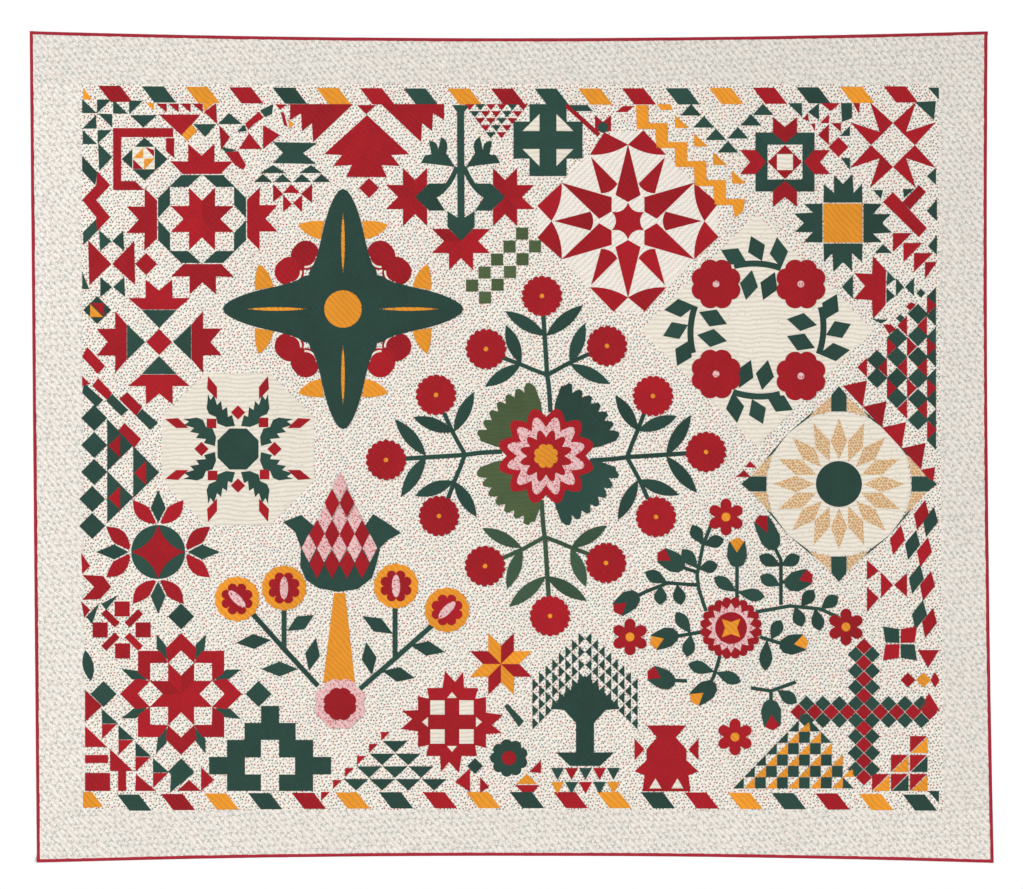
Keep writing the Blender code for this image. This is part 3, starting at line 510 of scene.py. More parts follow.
def turned(outline: Outline, degrees: float, centre: Point = (0.0, 0.0)) -> Outline:
    """An outline turned anticlockwise about a point."""
    c, s = math.cos(math.radians(degrees)), math.sin(math.radians(degrees))
    a, b = centre
    return [(a + (x - a) * c - (z - b) * s, b + (x - a) * s + (z - b) * c) for x, z in outline]


def moved(outline: Outline, by: Point) -> Outline:
    """An outline moved across and up."""
    return [(x + by[0], z + by[1]) for x, z in outline]


def mirrored(outline: Outline, across: bool = True) -> Outline:
    """An outline mirrored left to right, or top to bottom."""
    return [(-x, z) for x, z in outline] if across else [(x, -z) for x, z in outline]


def polar(radius: float, degrees: float, centre: Point = (0.0, 0.0)) -> Point:
    """The point at a radius and bearing from a centre."""
    turn = math.radians(degrees)
    return centre[0] + radius * math.cos(turn), centre[1] + radius * math.sin(turn)


def disc(centre: Point, radius: float, sides: int = 24) -> Outline:
    """A round outline."""
    return [polar(radius, 360.0 * i / sides, centre) for i in range(sides)]


def lobed(centre: Point, radius: float, lobes: int, depth: float = 0.12,
          start: float = 0.0, round_off: float = 0.7) -> Outline:
    """A scalloped flower outline; a larger round_off points its lobes and softens its nicks."""
    outline = []
    for i in range(lobes * 7):
        share = (i % 7) / 7.0
        reach = radius * (1.0 - depth + depth * math.sin(math.pi * share) ** round_off)
        outline.append(polar(reach, start + 360.0 * i / (lobes * 7), centre))
    return outline


def star(centre: Point, tip: float, inner: float, points: int, start: float = 90.0) -> Outline:
    """A star outline."""
    return [
        polar(tip if i % 2 == 0 else inner, start + 180.0 * i / points, centre)
        for i in range(points * 2)
    ]


def leaf(base: Point, tip: Point, width: float, belly: float = 0.5) -> Outline:
    """A pointed lens from base to tip."""
    (x0, z0), (x1, z1) = base, tip
    long = math.hypot(x1 - x0, z1 - z0)
    a, b = (x1 - x0) / long, (z1 - z0) / long
    right, left = [], []
    for i in range(1, 8):
        t = i / 8.0
        bulge = math.sin(math.pi * t ** (math.log(0.5) / math.log(belly))) ** 0.85 * width / 2.0
        right.append((x0 + a * long * t + b * bulge, z0 + b * long * t - a * bulge))
        left.append((x0 + a * long * t - b * bulge, z0 + b * long * t + a * bulge))
    return [base, *right, tip, *reversed(left)]


def rhomb(base: Point, tip: Point, width: float) -> Outline:
    """A four-cornered leaf from base to tip."""
    (x0, z0), (x1, z1) = base, tip
    long = math.hypot(x1 - x0, z1 - z0)
    a, b = (x1 - x0) / long * width / 2.0, (z1 - z0) / long * width / 2.0
    x, z = (x0 + x1) / 2.0, (z0 + z1) / 2.0
    return [base, (x + b, z - a), tip, (x - b, z + a)]


def ribbon(points: Sequence[Point], width: float) -> Outline:
    """A strip of one width along a run of points."""
    left, right = [], []
    last = len(points) - 1
    for i, (x, z) in enumerate(points):
        x0, z0 = points[max(i - 1, 0)]
        x1, z1 = points[min(i + 1, last)]
        long = math.hypot(x1 - x0, z1 - z0)
        a, b = (x1 - x0) / long * width / 2.0, (z1 - z0) / long * width / 2.0
        left.append((x - b, z + a))
        right.append((x + b, z - a))
    return left + right[::-1]


def bent(start: Point, through: Point, end: Point, steps: int = 8) -> list[Point]:
    """Points on a curve that starts and ends here and leans towards a third point."""
    curve = []
    for i in range(steps + 1):
        t = i / steps
        a, b, c = (1 - t) ** 2, 2 * t * (1 - t), t * t
        curve.append((a * start[0] + b * through[0] + c * end[0],
                      a * start[1] + b * through[1] + c * end[1]))
    return curve


def square(centre: Point, half: float) -> Outline:
    """A square outline."""
    x, z = centre
    return [(x - half, z - half), (x + half, z - half), (x + half, z + half), (x - half, z + half)]


def box(left: float, low: float, right: float, top: float) -> Outline:
    """An upright rectangle."""
    return [(left, low), (right, low), (right, top), (left, top)]


def diamond(centre: Point, across: float, up: float | None = None) -> Outline:
    """A square or rhombus on its point, by its half width and half height."""
    up = across if up is None else up
    x, z = centre
    return [(x + across, z), (x, z + up), (x - across, z), (x, z - up)]


def octagon(centre: Point, reach: float, flat: float) -> Outline:
    """An octagon whose four upright sides are 2 x flat long."""
    x, z = centre
    ends = [(reach, -flat), (reach, flat), (flat, reach), (-flat, reach),
            (-reach, flat), (-reach, -flat), (-flat, -reach), (flat, -reach)]
    return [(x + a, z + b) for a, b in ends]


def around(outline: Outline, turns: int = 4, start: float = 0.0,
           centre: Point = (0.0, 0.0)) -> list[Outline]:
    """Copies of an outline, evenly turned about a point."""
    return [turned(outline, start + 360.0 * i / turns, centre) for i in range(turns)]


def both_ways(outline: Outline) -> list[Outline]:
    """Four turned copies of an outline and four of its mirror image."""
    return around(outline) + around(mirrored(outline))


def placed(centre: Point, outlines: Iterable[Outline]) -> list[Outline]:
    """Outlines drafted about their own middle, moved to a centre."""
    return [moved(outline, centre) for outline in outlines]


def area_of(outline: Outline) -> float:
    """The area inside an outline; it is positive when the outline runs anticlockwise."""
    return 0.5 * sum(
        x0 * z1 - x1 * z0 for (x0, z0), (x1, z1) in zip(outline, outline[1:] + outline[:1])
    )


# Cloth meshes


def to_metres(points: np.ndarray) -> np.ndarray:
    """Inches from the quilt's middle, as metres in the row frame."""
    return np.stack((points[:, 0] * INCH, (points[:, 1] - HANG_LINE) * INCH), 1)


def edge_reach(points: np.ndarray, outline: np.ndarray) -> np.ndarray:
    """How far points lie inside an outline; outside they come out negative.

    Args:
        points: the points to test, in any unit.
        outline: the outline's corners in order.

    Returns:
        One signed distance per point.
    """
    near = np.full(len(points), 1e9)
    inside = np.zeros(len(points), bool)
    px, pz = points[:, 0], points[:, 1]
    for (x0, z0), (x1, z1) in zip(outline, np.roll(outline, -1, axis=0)):
        dx, dz = x1 - x0, z1 - z0
        long = dx * dx + dz * dz
        if long < 1e-16:
            continue
        t = np.clip(((px - x0) * dx + (pz - z0) * dz) / long, 0.0, 1.0)
        near = np.minimum(near, (px - x0 - t * dx) ** 2 + (pz - z0 - t * dz) ** 2)
        cross = (z0 > pz) != (z1 > pz)
        if abs(dz) > 1e-12:
            inside ^= cross & (px < x0 + (pz - z0) * dx / dz)
    return np.where(inside, np.sqrt(near), -np.sqrt(near))


@dataclass(frozen=True)
class Weight:
    """How finely a cloth is meshed and how its edges turn under, in metres.

    Args:
        step: the space between its points.
        rim: the width of the turned-under edge.
        low: how far the edge stays above the cloth below.
        swell: how far in from the edge a stuffed patch reaches its full height.
    """

    step: float = 0.0045
    rim: float = 0.0012
    low: float = 0.0003
    swell: float = 0.012


def cloth_points(corners: np.ndarray, weight: Weight,
                 draw: np.random.Generator) -> tuple[np.ndarray, int, np.ndarray]:
    """Points over a patch: its edge, a ring just inside the edge and a staggered lattice.

    Args:
        corners: the outline in metres.
        weight: how finely to mesh it.
        draw: the random source for the lattice's jitter.

    Returns:
        The points, how many of them are on the edge, and each point's reach from the edge.
    """
    edge, ring = [], []
    for start, end in zip(corners, np.roll(corners, -1, axis=0)):
        long = float(np.hypot(*(end - start)))
        if long < 1e-7:
            continue
        count = max(1, round(long / weight.step))
        steps = np.arange(count)[:, None] / count
        edge.append(start + (end - start) * steps)
        inward = np.array([-(end - start)[1], (end - start)[0]]) / long
        ring.append(start + (end - start) * (steps + 0.5 / count) + inward * weight.rim)
    edge, ring = np.concatenate(edge), np.concatenate(ring)
    low, high = corners.min(axis=0), corners.max(axis=0)
    rise = weight.step * 0.866
    rows = np.arange(low[1] + rise / 2.0, high[1], rise)
    columns = np.arange(low[0] - weight.step, high[0] + weight.step, weight.step)
    z, x = np.meshgrid(rows, columns, indexing="ij")
    x = x + (np.arange(len(rows)) % 2)[:, None] * weight.step / 2.0
    lattice = np.stack((x.ravel(), z.ravel()), 1)
    lattice += draw.uniform(-0.12, 0.12, lattice.shape) * weight.step
    ring_reach = edge_reach(ring, corners)
    ring = ring[ring_reach > weight.rim * 0.8]
    lattice = lattice[edge_reach(lattice, corners) > weight.rim + weight.step * 0.4]
    points = np.concatenate((edge, ring, lattice))
    reach = np.concatenate((np.zeros(len(edge)), edge_reach(points[len(edge):], corners)))
    return points, len(edge), reach


class Cloth:
    """One cloth piece under construction: patches of several fabrics, with their flat area."""

    def __init__(self, name: str, weight: Weight = Weight(), seed: int = 1) -> None:
        """Starts an empty piece.

        Args:
            name: the piece's name.
            weight: how finely its patches are meshed.
            seed: the random seed of its jitter and tones.
        """
        self.name = name
        self.weight = weight
        self.draw = np.random.default_rng(seed)
        self.points: list[np.ndarray] = []
        self.faces: list[tuple[int, ...]] = []
        self.slots: list[int] = []
        self.tones: list[np.ndarray] = []
        self.fabrics: list[Fabric] = []
        self.count = 0
        self.area = 0.0

    def patch(self, fabric: Fabric, outline: Outline, layer: float = 1.0,
              puff: float = 0.0) -> None:
        """Adds one patch of cloth.

        Args:
            fabric: the patch's cloth.
            outline: its outline in inches from the quilt's middle.
            layer: how many cloths lie under it, counted from the ground.
            puff: how far its middle stands up on top of that, in metres.
        """
        if area_of(outline) < 0.0:
            outline = outline[::-1]
        corners = to_metres(np.array(outline, float))
        points, on_edge, reach = cloth_points(corners, self.weight, self.draw)
        loop = list(range(on_edge))
        made = delaunay_2d_cdt([Vector(p) for p in points], [], [loop], 1, 1e-7)
        flat, faces, origin = made[0], made[2], made[3]
        kept = np.array([(v[0], v[1]) for v in flat])
        source = np.array([o[0] if o else 0 for o in origin])
        inner = eased(np.clip(reach[source] / self.weight.rim, 0.0, 1.0))
        lift = SIZE.ground_front + SIZE.level * 2.0 * layer
        lift = lift - (SIZE.level * 1.6 - self.weight.low) * (1.0 - inner)
        if puff:
            rise = np.clip(reach[source] / self.weight.swell, 0.0, 1.0)
            lift = lift + puff * np.sin(rise * math.pi / 2.0)
        depth = lift + RELIEF.at(kept[:, 0], kept[:, 1])
        self.add(fabric, np.stack((kept[:, 0], -depth, kept[:, 1]), 1), faces)
        self.area += abs(area_of(outline)) * INCH * INCH

    def add(self, fabric: Fabric, points: np.ndarray, faces: Sequence[Sequence[int]]) -> None:
        """Adds ready points and faces of one fabric."""
        if fabric not in self.fabrics:
            self.fabrics.append(fabric)
        which = self.fabrics.index(fabric)
        self.points.append(points)
        self.faces.extend(tuple(i + self.count for i in face) for face in faces)
        self.slots.extend([which] * len(faces))
        self.tones.append(np.full(len(points), self.draw.random()))
        self.count += len(points)

    def patches(self, fabric: Fabric, outlines: Iterable[Outline], layer: float = 1.0,
                puff: float = 0.0) -> None:
        """Adds several patches of one fabric."""
        for outline in outlines:
            self.patch(fabric, outline, layer, puff)

    def build(self) -> bpy.types.Object:
        """Makes the object with its materials and tones."""
        mesh = bpy.data.meshes.new(self.name)
        mesh.from_pydata(np.concatenate(self.points).tolist(), [], self.faces)
        for fabric in self.fabrics:
            mesh.materials.append(fabric.material())
        mesh.polygons.foreach_set("material_index", self.slots)
        mesh.polygons.foreach_set("use_smooth", [True] * len(mesh.polygons))
        tone = mesh.attributes.new("tone", "FLOAT", "POINT")
        tone.data.foreach_set("value", np.concatenate(self.tones).astype(np.float32))
        mesh.update()
        made = bpy.data.objects.new(self.name, mesh)
        bpy.context.scene.collection.objects.link(made)
        return made

    def declare(self, made: bpy.types.Object, nodes: Sequence[str], held: str = "hung",
                on: str = "ground_cloth") -> bpy.types.Object:
        """Its width and length aren't the block's.

        Args:
            made: the built object.
            nodes: the solids that it stands for.
            held: how the cloth is held; not used.
            on: what it is sewn to; not used.

        Returns:
            The same object.
        """
        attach(made, QUILT)
        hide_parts(*nodes)
        spread = np.concatenate(self.points)
        wide, tall = np.ptp(spread[:, 0]), np.ptp(spread[:, 2])
        if self.area >= LEAST_COVER * wide * tall:
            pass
        else:
            side = math.sqrt(self.area * wide / tall)
            wide, tall = side, self.area / side
        LOG.info("%s: flat %.3f x %.3f m, %.4f m2 cut, %d faces",
                 self.name, wide, tall, self.area, len(self.faces))
        return made


# The quilt's plain parts


def along(edge: Callable[[np.ndarray], np.ndarray], start: float, end: float,
          steps: int = 24) -> Outline:
    """Points on a top or bottom edge from start to end."""
    x = np.linspace(start, end, steps + 1)
    return list(zip(x.tolist(), edge(x).tolist()))


def up_side(edge: Callable[[np.ndarray], np.ndarray], start: float, end: float,
            steps: int = 16) -> Outline:
    """Points on a left or right edge from one height to another."""
    z = np.linspace(start, end, steps + 1)
    return list(zip(edge(z).tolist(), z.tolist()))


@dataclass
class Ground:
    """The pieced field's ground cloth and its four border strips.

    Args:
        lengths: how many lengths the ground is cut in.
        tuck: how far a border's edge stops short of the binding's outside, in inches.
    """

    lengths: int = 4
    tuck: float = 0.12
    weight: Weight = field(default_factory=lambda: Weight(0.0052, 0.0015, 0.0003))

    def field_lengths(self) -> list[bpy.types.Object]:
        """The ground's lengths, side by side."""
        made = []
        wide, tall = SIZE.field_half_width + 0.25, SIZE.field_half_height + 0.1
        for i in range(self.lengths):
            left = -wide + 2.0 * wide * i / self.lengths
            right = left + 2.0 * wide / self.lengths
            shape = [(left + 0.3 * (i == 0), -tall), (right + 0.3 * (i == self.lengths - 1), -tall),
                     (right - 0.3 * (i == self.lengths - 1), tall), (left - 0.3 * (i == 0), tall)]
            name = "ground_cloth" if i == 0 else f"ground_cloth_{i + 1}"
            cloth = Cloth(name, Weight(0.0052, 0.0008, 0.0007), seed=20 + i)
            cloth.patch(Cottons.DOTTED, shape, 0.0)
            made.append(cloth.declare(cloth.build(), ["field_ground"], on="backing"))
        return made

    def borders(self) -> list[bpy.types.Object]:
        """The four printed strips around the field."""
        wide, tall = SIZE.field_half_width, SIZE.field_half_height
        tuck = self.tuck
        corner = SIZE.half_height + SIZE.edge_rise

        def reach(z: float) -> Point:
            """Where the border's outer ends lie at a height."""
            return (float(SIZE.left_edge(z)) + tuck, float(SIZE.right_edge(z)) - tuck)

        top = [(x, z - tuck) for x, z in along(SIZE.top_edge, *reach(corner))]
        bottom = [(x, z + tuck) for x, z in along(SIZE.bottom_edge, *reach(-corner))]
        left = [(x + tuck, z) for x, z in up_side(SIZE.left_edge, -tall, tall)]
        right = [(x - tuck, z) for x, z in up_side(SIZE.right_edge, -tall, tall)]
        shapes = {
            "border_top": top + [(reach(tall)[1], tall), (reach(tall)[0], tall)],
            "border_bottom": bottom + [(reach(-tall)[1], -tall), (reach(-tall)[0], -tall)],
            "border_left": left + [(-wide - 0.3, tall), (-wide + 0.3, -tall)],
            "border_right": right + [(wide - 0.1, tall), (wide + 0.45, -tall)],
        }
        made = []
        for i, (name, shape) in enumerate(shapes.items()):
            cloth = Cloth(f"{name}_cloth", self.weight, seed=30 + i)
            layer = 0.6 if name in ("border_top", "border_bottom") else 0.5
            cloth.patch(Cottons.BORDER, shape, layer)
            made.append(cloth.declare(cloth.build(), [name], on="backing"))
        return made


@dataclass
class Ribbons:
    """The strips of slanted ribbon patches at the field's top and bottom.

    Args:
        pitch: the step from one ribbon to the next, in inches.
        width: a ribbon's width.
        slant: how far its foot lies to the right of its head.
        height: the ribbon's height.
    """

    pitch: float = 4.365
    width: float = 2.2
    slant: float = 1.25
    height: float = 1.62

    def parallelogram(self, left: float, head: float, foot: float) -> Outline:
        """One ribbon whose upper left corner is at left."""
        return [(left, head), (left + self.slant, foot), (left + self.slant + self.width, foot),
                (left + self.width, head)]

    def strip(self, name: str, node: str, first: float, shift: int, middle: float,
              rise: float) -> bpy.types.Object:
        """A whole strip.

        Args:
            name: the piece's name.
            node: the solid that it stands for.
            first: the left end of the first ribbon.
            shift: which colour it starts with.
            middle: the height of the ribbons' heads at the quilt's middle.
            rise: how much higher the heads stand at the sides.

        Returns:
            The strip.
        """
        colours = [Cottons.RED, Cottons.GREEN, Cottons.ORANGE]
        if shift:
            colours = [Cottons.ORANGE, Cottons.GREEN, Cottons.RED]
        cloth = Cloth(name, seed=41 + shift)
        ends = SIZE.field_half_width
        low = middle - self.height - 0.05
        cloth.patch(Cottons.DOTTED, box(-ends, low, ends, middle + 0.1), 0.5)
        for i in range(19):
            left = first + self.pitch * i
            head = middle + rise * (left / ends) ** 2
            if left + self.width + self.slant > ends + 0.15:
                break
            cloth.patch(colours[(i + shift) % 3],
                        self.parallelogram(left, head, head - self.height), 1.1)
        start = [(-ends, middle), (-ends + 0.9, middle), (-ends + 2.0, middle - 1.5),
                 (-ends, middle - 1.6)]
        if not shift:
            start = [(-ends, middle + 0.1), (-ends, middle - 1.1), (-ends + 0.95, middle - 1.1)]
        cloth.patch(Cottons.ORANGE, start, 1.1)
        cloth.patch(Cottons.GREEN, [(ends - 1.1, middle + 0.1), (ends, middle + 0.1),
                                    (ends, middle - 1.1)], 1.1)
        return cloth.declare(cloth.build(), [node], on="ground_cloth")

    def build(self) -> list[bpy.types.Object]:
        """Both strips."""
        return [
            self.strip("ribbon_top", "ribbon_strip_top", -41.3, 0, 35.85, 0.3),
            self.strip("ribbon_bottom", "ribbon_strip_bottom", -39.4, 1, -34.5, -0.3),
        ]


@dataclass
class Bindings:
    """The narrow folded binding around the quilt's edge.

    Args:
        width: the binding's width in inches.
        sides: how many points run round its section.
        fold: the flat strip's width as a multiple of the finished width; not used.
    """

    width: float = 0.4
    sides: int = 10
    fold: float = 2.6

    def section(self, across: float) -> tuple[float, float]:
        """A place on the rounded section, as depth and distance in from the edge, in metres."""
        middle = (SIZE.backing_back + SIZE.ground_front) / 2.0
        half = (SIZE.ground_front - SIZE.backing_back) / 2.0 + 0.0012
        turn = math.radians(across)
        depth = middle + half * math.copysign(abs(math.sin(turn)) ** 0.6, math.sin(turn))
        inward = self.width * INCH * 0.5 * (1.0 - math.cos(turn))
        return depth, inward

    def sweep(self, name: str, run: Outline, node: str, seed: int) -> bpy.types.Object:
        """One side's binding along its run of edge points.

        Args:
            name: the piece's name.
            run: the quilt's edge, anticlockwise, in inches.
            node: the solid that it stands for.
            seed: the random seed of its seam puckers.

        Returns:
            The binding.
        """
        line = to_metres(np.array(run))
        steps = np.concatenate(([0.0], np.cumsum(np.hypot(*np.diff(line, axis=0).T))))
        places = np.arange(0.0, steps[-1], 0.005)
        x, z = np.interp(places, steps, line[:, 0]), np.interp(places, steps, line[:, 1])
        go = np.stack((np.gradient(x), np.gradient(z)), 1)
        go /= np.hypot(go[:, 0], go[:, 1])[:, None]
        wobble = RELIEF.noise(places, np.full_like(places, seed), 0.014, 1)
        rows = []
        for i in range(self.sides + 1):
            depth, inward = self.section(-160.0 + 320.0 * i / self.sides)
            inward = inward * (1.0 + 0.05 * wobble)
            px, pz = x - go[:, 1] * inward, z + go[:, 0] * inward
            stand = RELIEF.at(px, pz)
            rows.append(np.stack((px, -depth - stand - 0.0002 * wobble, pz), 1))
        points = np.concatenate(rows)
        count = len(places)
        faces = [
            (r * count + i, (r + 1) * count + i, (r + 1) * count + i + 1, r * count + i + 1)
            for r in range(self.sides) for i in range(count - 1)
        ]
        cloth = Cloth(name, seed=seed)
        cloth.add(Cottons.BINDING, points, faces)
        made = cloth.build()
        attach(made, QUILT)
        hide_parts(node)
        return made

    def build(self) -> list[bpy.types.Object]:
        """All four sides."""
        wide, tall = SIZE.half_width, SIZE.half_height + SIZE.edge_rise
        return [
            self.sweep("binding_cloth_bottom", along(SIZE.bottom_edge, 0.35 - wide, wide + 0.45),
                       "binding_bottom", 51),
            self.sweep("binding_cloth_right", up_side(SIZE.right_edge, -tall, tall),
                       "binding_right", 52),
            self.sweep("binding_cloth_top", along(SIZE.top_edge, wide - 0.1, -wide - 0.33),
                       "binding_top", 53),
            self.sweep("binding_cloth_left", up_side(SIZE.left_edge, tall, -tall),
                       "binding_left", 54),
        ]


@dataclass
class Sandwich:
    """The backing and the wadding behind the pieced top."""

    weight: Weight = field(default_factory=lambda: Weight(0.008, 0.002, 0.0))

    def outline(self, inset: float) -> Outline:
        """The quilt's outline, moved inwards by inset inches."""
        wide, tall = SIZE.half_width - inset, SIZE.half_height - inset
        top = [(x, z - inset) for x, z in along(SIZE.top_edge, wide, -wide, 16)]
        bottom = [(x, z + inset) for x, z in along(SIZE.bottom_edge, -wide, wide, 16)]
        left = [(x + inset, z) for x, z in up_side(SIZE.left_edge, tall - 0.5, 0.5 - tall, 8)]
        right = [(x - inset, z) for x, z in up_side(SIZE.right_edge, 0.5 - tall, tall - 0.5, 8)]
        return bottom + right + top + left

    def layer(self, name: str, depth: float, inset: float, fabric: Fabric) -> Cloth:
        """A plain sheet at a depth that follows the quilt's relief."""
        cloth = Cloth(name, self.weight, seed=61)
        corners = to_metres(np.array(self.outline(inset)))
        points, on_edge, _ = cloth_points(corners, self.weight, cloth.draw)
        made = delaunay_2d_cdt([Vector(p) for p in points], [], [list(range(on_edge))], 1, 1e-7)
        flat = np.array([(v[0], v[1]) for v in made[0]])
        stand = RELIEF.ripple(flat[:, 0], flat[:, 1]) + 0.6 * RELIEF.pucker(flat[:, 0], flat[:, 1])
        cloth.add(fabric, np.stack((flat[:, 0], -depth - stand, flat[:, 1]), 1), made[2])
        cloth.area = abs(area_of(self.outline(inset))) * INCH * INCH
        return cloth

    def build(self) -> list[bpy.types.Object]:
        """The backing and the wadding."""
        back = self.layer("backing_sheet", 0.0236, 0.1, Cottons.BACKING)
        backing = back.declare(back.build(), ["backing"], held="hung", on="hanging_sleeve")
        filling = self.layer("wadding_sheet", 0.0252, 0.5, Cottons.WADDING)
        wadding = filling.build()
        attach(wadding, QUILT)
        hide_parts("batting")
        return [backing, wadding]


@dataclass
class Sleeve:
    """The cloth sleeve on the quilt's back that the slat runs through.

    Args:
        steps: how many points run along it.
    """

    steps: int = 260

    def loop(self) -> list[tuple[float, float]]:
        """The sleeve's section as y and z, from the lower seam round to the upper one."""
        back, front, top = -0.0026, -0.0229, 0.0333
        return [(-0.0226, -HANG.sleeve_drop), (-0.019, -0.0575), (-0.012, -0.048),
                (-0.0055, -0.039), (back, -0.033), (back, -0.012), (back, 0.01),
                (back, 0.0285), (-0.0042, top - 0.0012), (-0.007, top), (-0.013, top + 0.0002),
                (-0.019, top), (-0.0216, top - 0.001), (front, 0.0295)]

    def build(self) -> list[bpy.types.Object]:
        """The sleeve with its soft sag between the plates."""
        half = HANG.sleeve_length / 2.0
        x = np.linspace(-half, half, self.steps)
        rows = []
        section = self.loop()
        for i, (y, z) in enumerate(section):
            free = math.sin(math.pi * i / (len(section) - 1))
            sag = RELIEF.noise(x, np.full_like(x, z), 0.045, 2) * 0.0007 * free
            drape = RELIEF.noise(x, np.full_like(x, 3.0), 0.12, 1) * 0.0010 * free
            rows.append(np.stack((x, y - 0.35 * sag, z + drape * (z < 0.0)), 1))
        points = np.concatenate(rows)
        count = self.steps
        faces = [
            (r * count + i, r * count + i + 1, (r + 1) * count + i + 1, (r + 1) * count + i)
            for r in range(len(section) - 1) for i in range(count - 1)
        ]
        cloth = Cloth("sleeve_cloth", seed=71)
        cloth.add(Cottons.BACKING, points, faces)
        made = cloth.build()
        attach(made, QUILT)
        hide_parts("hanging_sleeve")
        return [made]


# The hanger


class Hardware:
    """Wood and steel for the hanger."""

    @staticmethod
    def wood() -> bpy.types.Material:
        """Planed pine with grain along the slat."""
        mat, nodes, shader, place = new_material("pine_wood")
        long = nodes.vector("MULTIPLY", place, (1.6, 40.0, 30.0)).outputs[0]
        grain = nodes.noise(long, 3.0, 6.0)
        fine = nodes.noise(nodes.vector("MULTIPLY", place, (6.0, 400.0, 400.0)).outputs[0], 4.0)
        colour = nodes.mix(nodes.steps(grain, 0.35, 0.68), srgb(216, 178, 128),
                           srgb(178, 130, 82))
        colour = nodes.mix(nodes.maths("MULTIPLY", fine, 0.3), colour, srgb(150, 104, 62))
        nodes.feed(shader.inputs["Base Color"], colour)
        shader.inputs["Roughness"].default_value = 0.6
        bump = nodes.add("ShaderNodeBump")
        bump.inputs["Strength"].default_value = 0.3
        bump.inputs["Distance"].default_value = 0.001
        nodes.feed(bump.inputs["Height"], fine)
        nodes.feed(shader.inputs["Normal"], bump.outputs[0])
        return mat

    @staticmethod
    def steel() -> bpy.types.Material:
        """Brushed zinc-plated steel."""
        mat, nodes, shader, place = new_material("plated_steel")
        brush = nodes.noise(nodes.vector("MULTIPLY", place, (30.0, 30.0, 900.0)).outputs[0], 2.0)
        shader.inputs["Metallic"].default_value = 1.0
        nodes.feed(shader.inputs["Base Color"], nodes.mix(brush, (0.42, 0.43, 0.44),
                                                         (0.62, 0.63, 0.64)))
        nodes.feed(shader.inputs["Roughness"], nodes.maths("MULTIPLY_ADD", brush, 0.25, 0.28))
        return mat


@dataclass
class Hanger:
    """The slat, its end plates and their screws: softened copies of the solids.

    Args:
        round_over: the radius that the slat's long edges are rounded by, in metres.
    """

    round_over: float = 0.0012

    def copy(self, node: str, name: str, slot: str, mat: bpy.types.Material,
             bevel: float) -> bpy.types.Object:
        """A bevelled copy of one solid with its finish."""
        mesh = bpy.data.objects[node].data.copy()
        mesh.materials.clear()
        mesh.materials.append(mat)
        made = bpy.data.objects.new(name, mesh)
        made.matrix_world = bpy.data.objects[node].matrix_world.copy()
        bpy.context.scene.collection.objects.link(made)
        edge = made.modifiers.new("soft_edges", "BEVEL")
        edge.width = bevel
        edge.segments = 2
        edge.limit_method = "ANGLE"
        edge.harden_normals = False
        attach(made, HANGER)
        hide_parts(node)
        return made

    def build(self) -> list[bpy.types.Object]:
        """All five pieces."""
        wood, steel = Hardware.wood(), Hardware.steel()
        made = [self.copy("slat", "slat_wood", "slat_wood", wood, self.round_over)]
        for side in ("left", "right"):
            made.append(self.copy(f"end_plate_{side}", f"plate_{side}_steel", "plate_steel",
                                  steel, 0.0003))
            made.append(self.copy(f"screw_{side}", f"screw_{side}_steel", "plate_steel",
                                  steel, 0.0002))
        return made


# Blocks

TOP = 1.4


def lemoyne(tip: float, start: float = 22.5, centre: Point = (0.0, 0.0)) -> list[Outline]:
    """The eight rhombi of a star whose points all meet in its middle."""
    side = tip / (2.0 * math.cos(math.radians(22.5)))
    return [
        [centre, polar(side, b - 22.5, centre), polar(tip, b, centre),
         polar(side, b + 22.5, centre)]
        for b in (start + 45.0 * i for i in range(8))
    ]


@dataclass
class Block:
    """One block of the sampler.

    Args:
        name: the piece's name.
        nodes: the solids that it stands for.
        centre: its middle, in inches from the quilt's middle.
        panel: the cloth that it is pieced on, if that isn't the field's.
        shape: the panel's outline about the block's middle.
        held: how its cloth is held.
    """

    name: str
    nodes: tuple[str, ...]
    centre: Point = (0.0, 0.0)
    panel: Fabric | None = None
    shape: Outline | None = None
    held: str = "hung"

    def draft(self, cloth: Cloth) -> None:
        """Adds the block's patches."""
        raise NotImplementedError

    def sew(self, cloth: Cloth, fabric: Fabric, outlines: Iterable[Outline],
            layer: float = TOP, puff: float = 0.0) -> None:
        """Adds patches that are drafted about the block's own middle."""
        cloth.patches(fabric, placed(self.centre, outlines), layer, puff)

    def build(self) -> bpy.types.Object:
        cloth = Cloth(self.name, seed=len(self.name) * 31 + int(abs(self.centre[0]) * 7))
        if self.panel is not None and self.shape is not None:
            self.sew(cloth, self.panel, [self.shape], 0.7)
        self.draft(cloth)
        return cloth.declare(cloth.build(), list(self.nodes), self.held)


@dataclass
class Loose(Block):
    """A block that is drafted straight in the quilt's own inches, by cloth.

    Args:
        pieces: the outlines of each cloth.
    """

    pieces: list[tuple[Fabric, list[Outline]]] = field(default_factory=list)

    def draft(self, cloth: Cloth) -> None:
        """Adds every outline."""
        for fabric, outlines in self.pieces:
            self.sew(cloth, fabric, outlines)


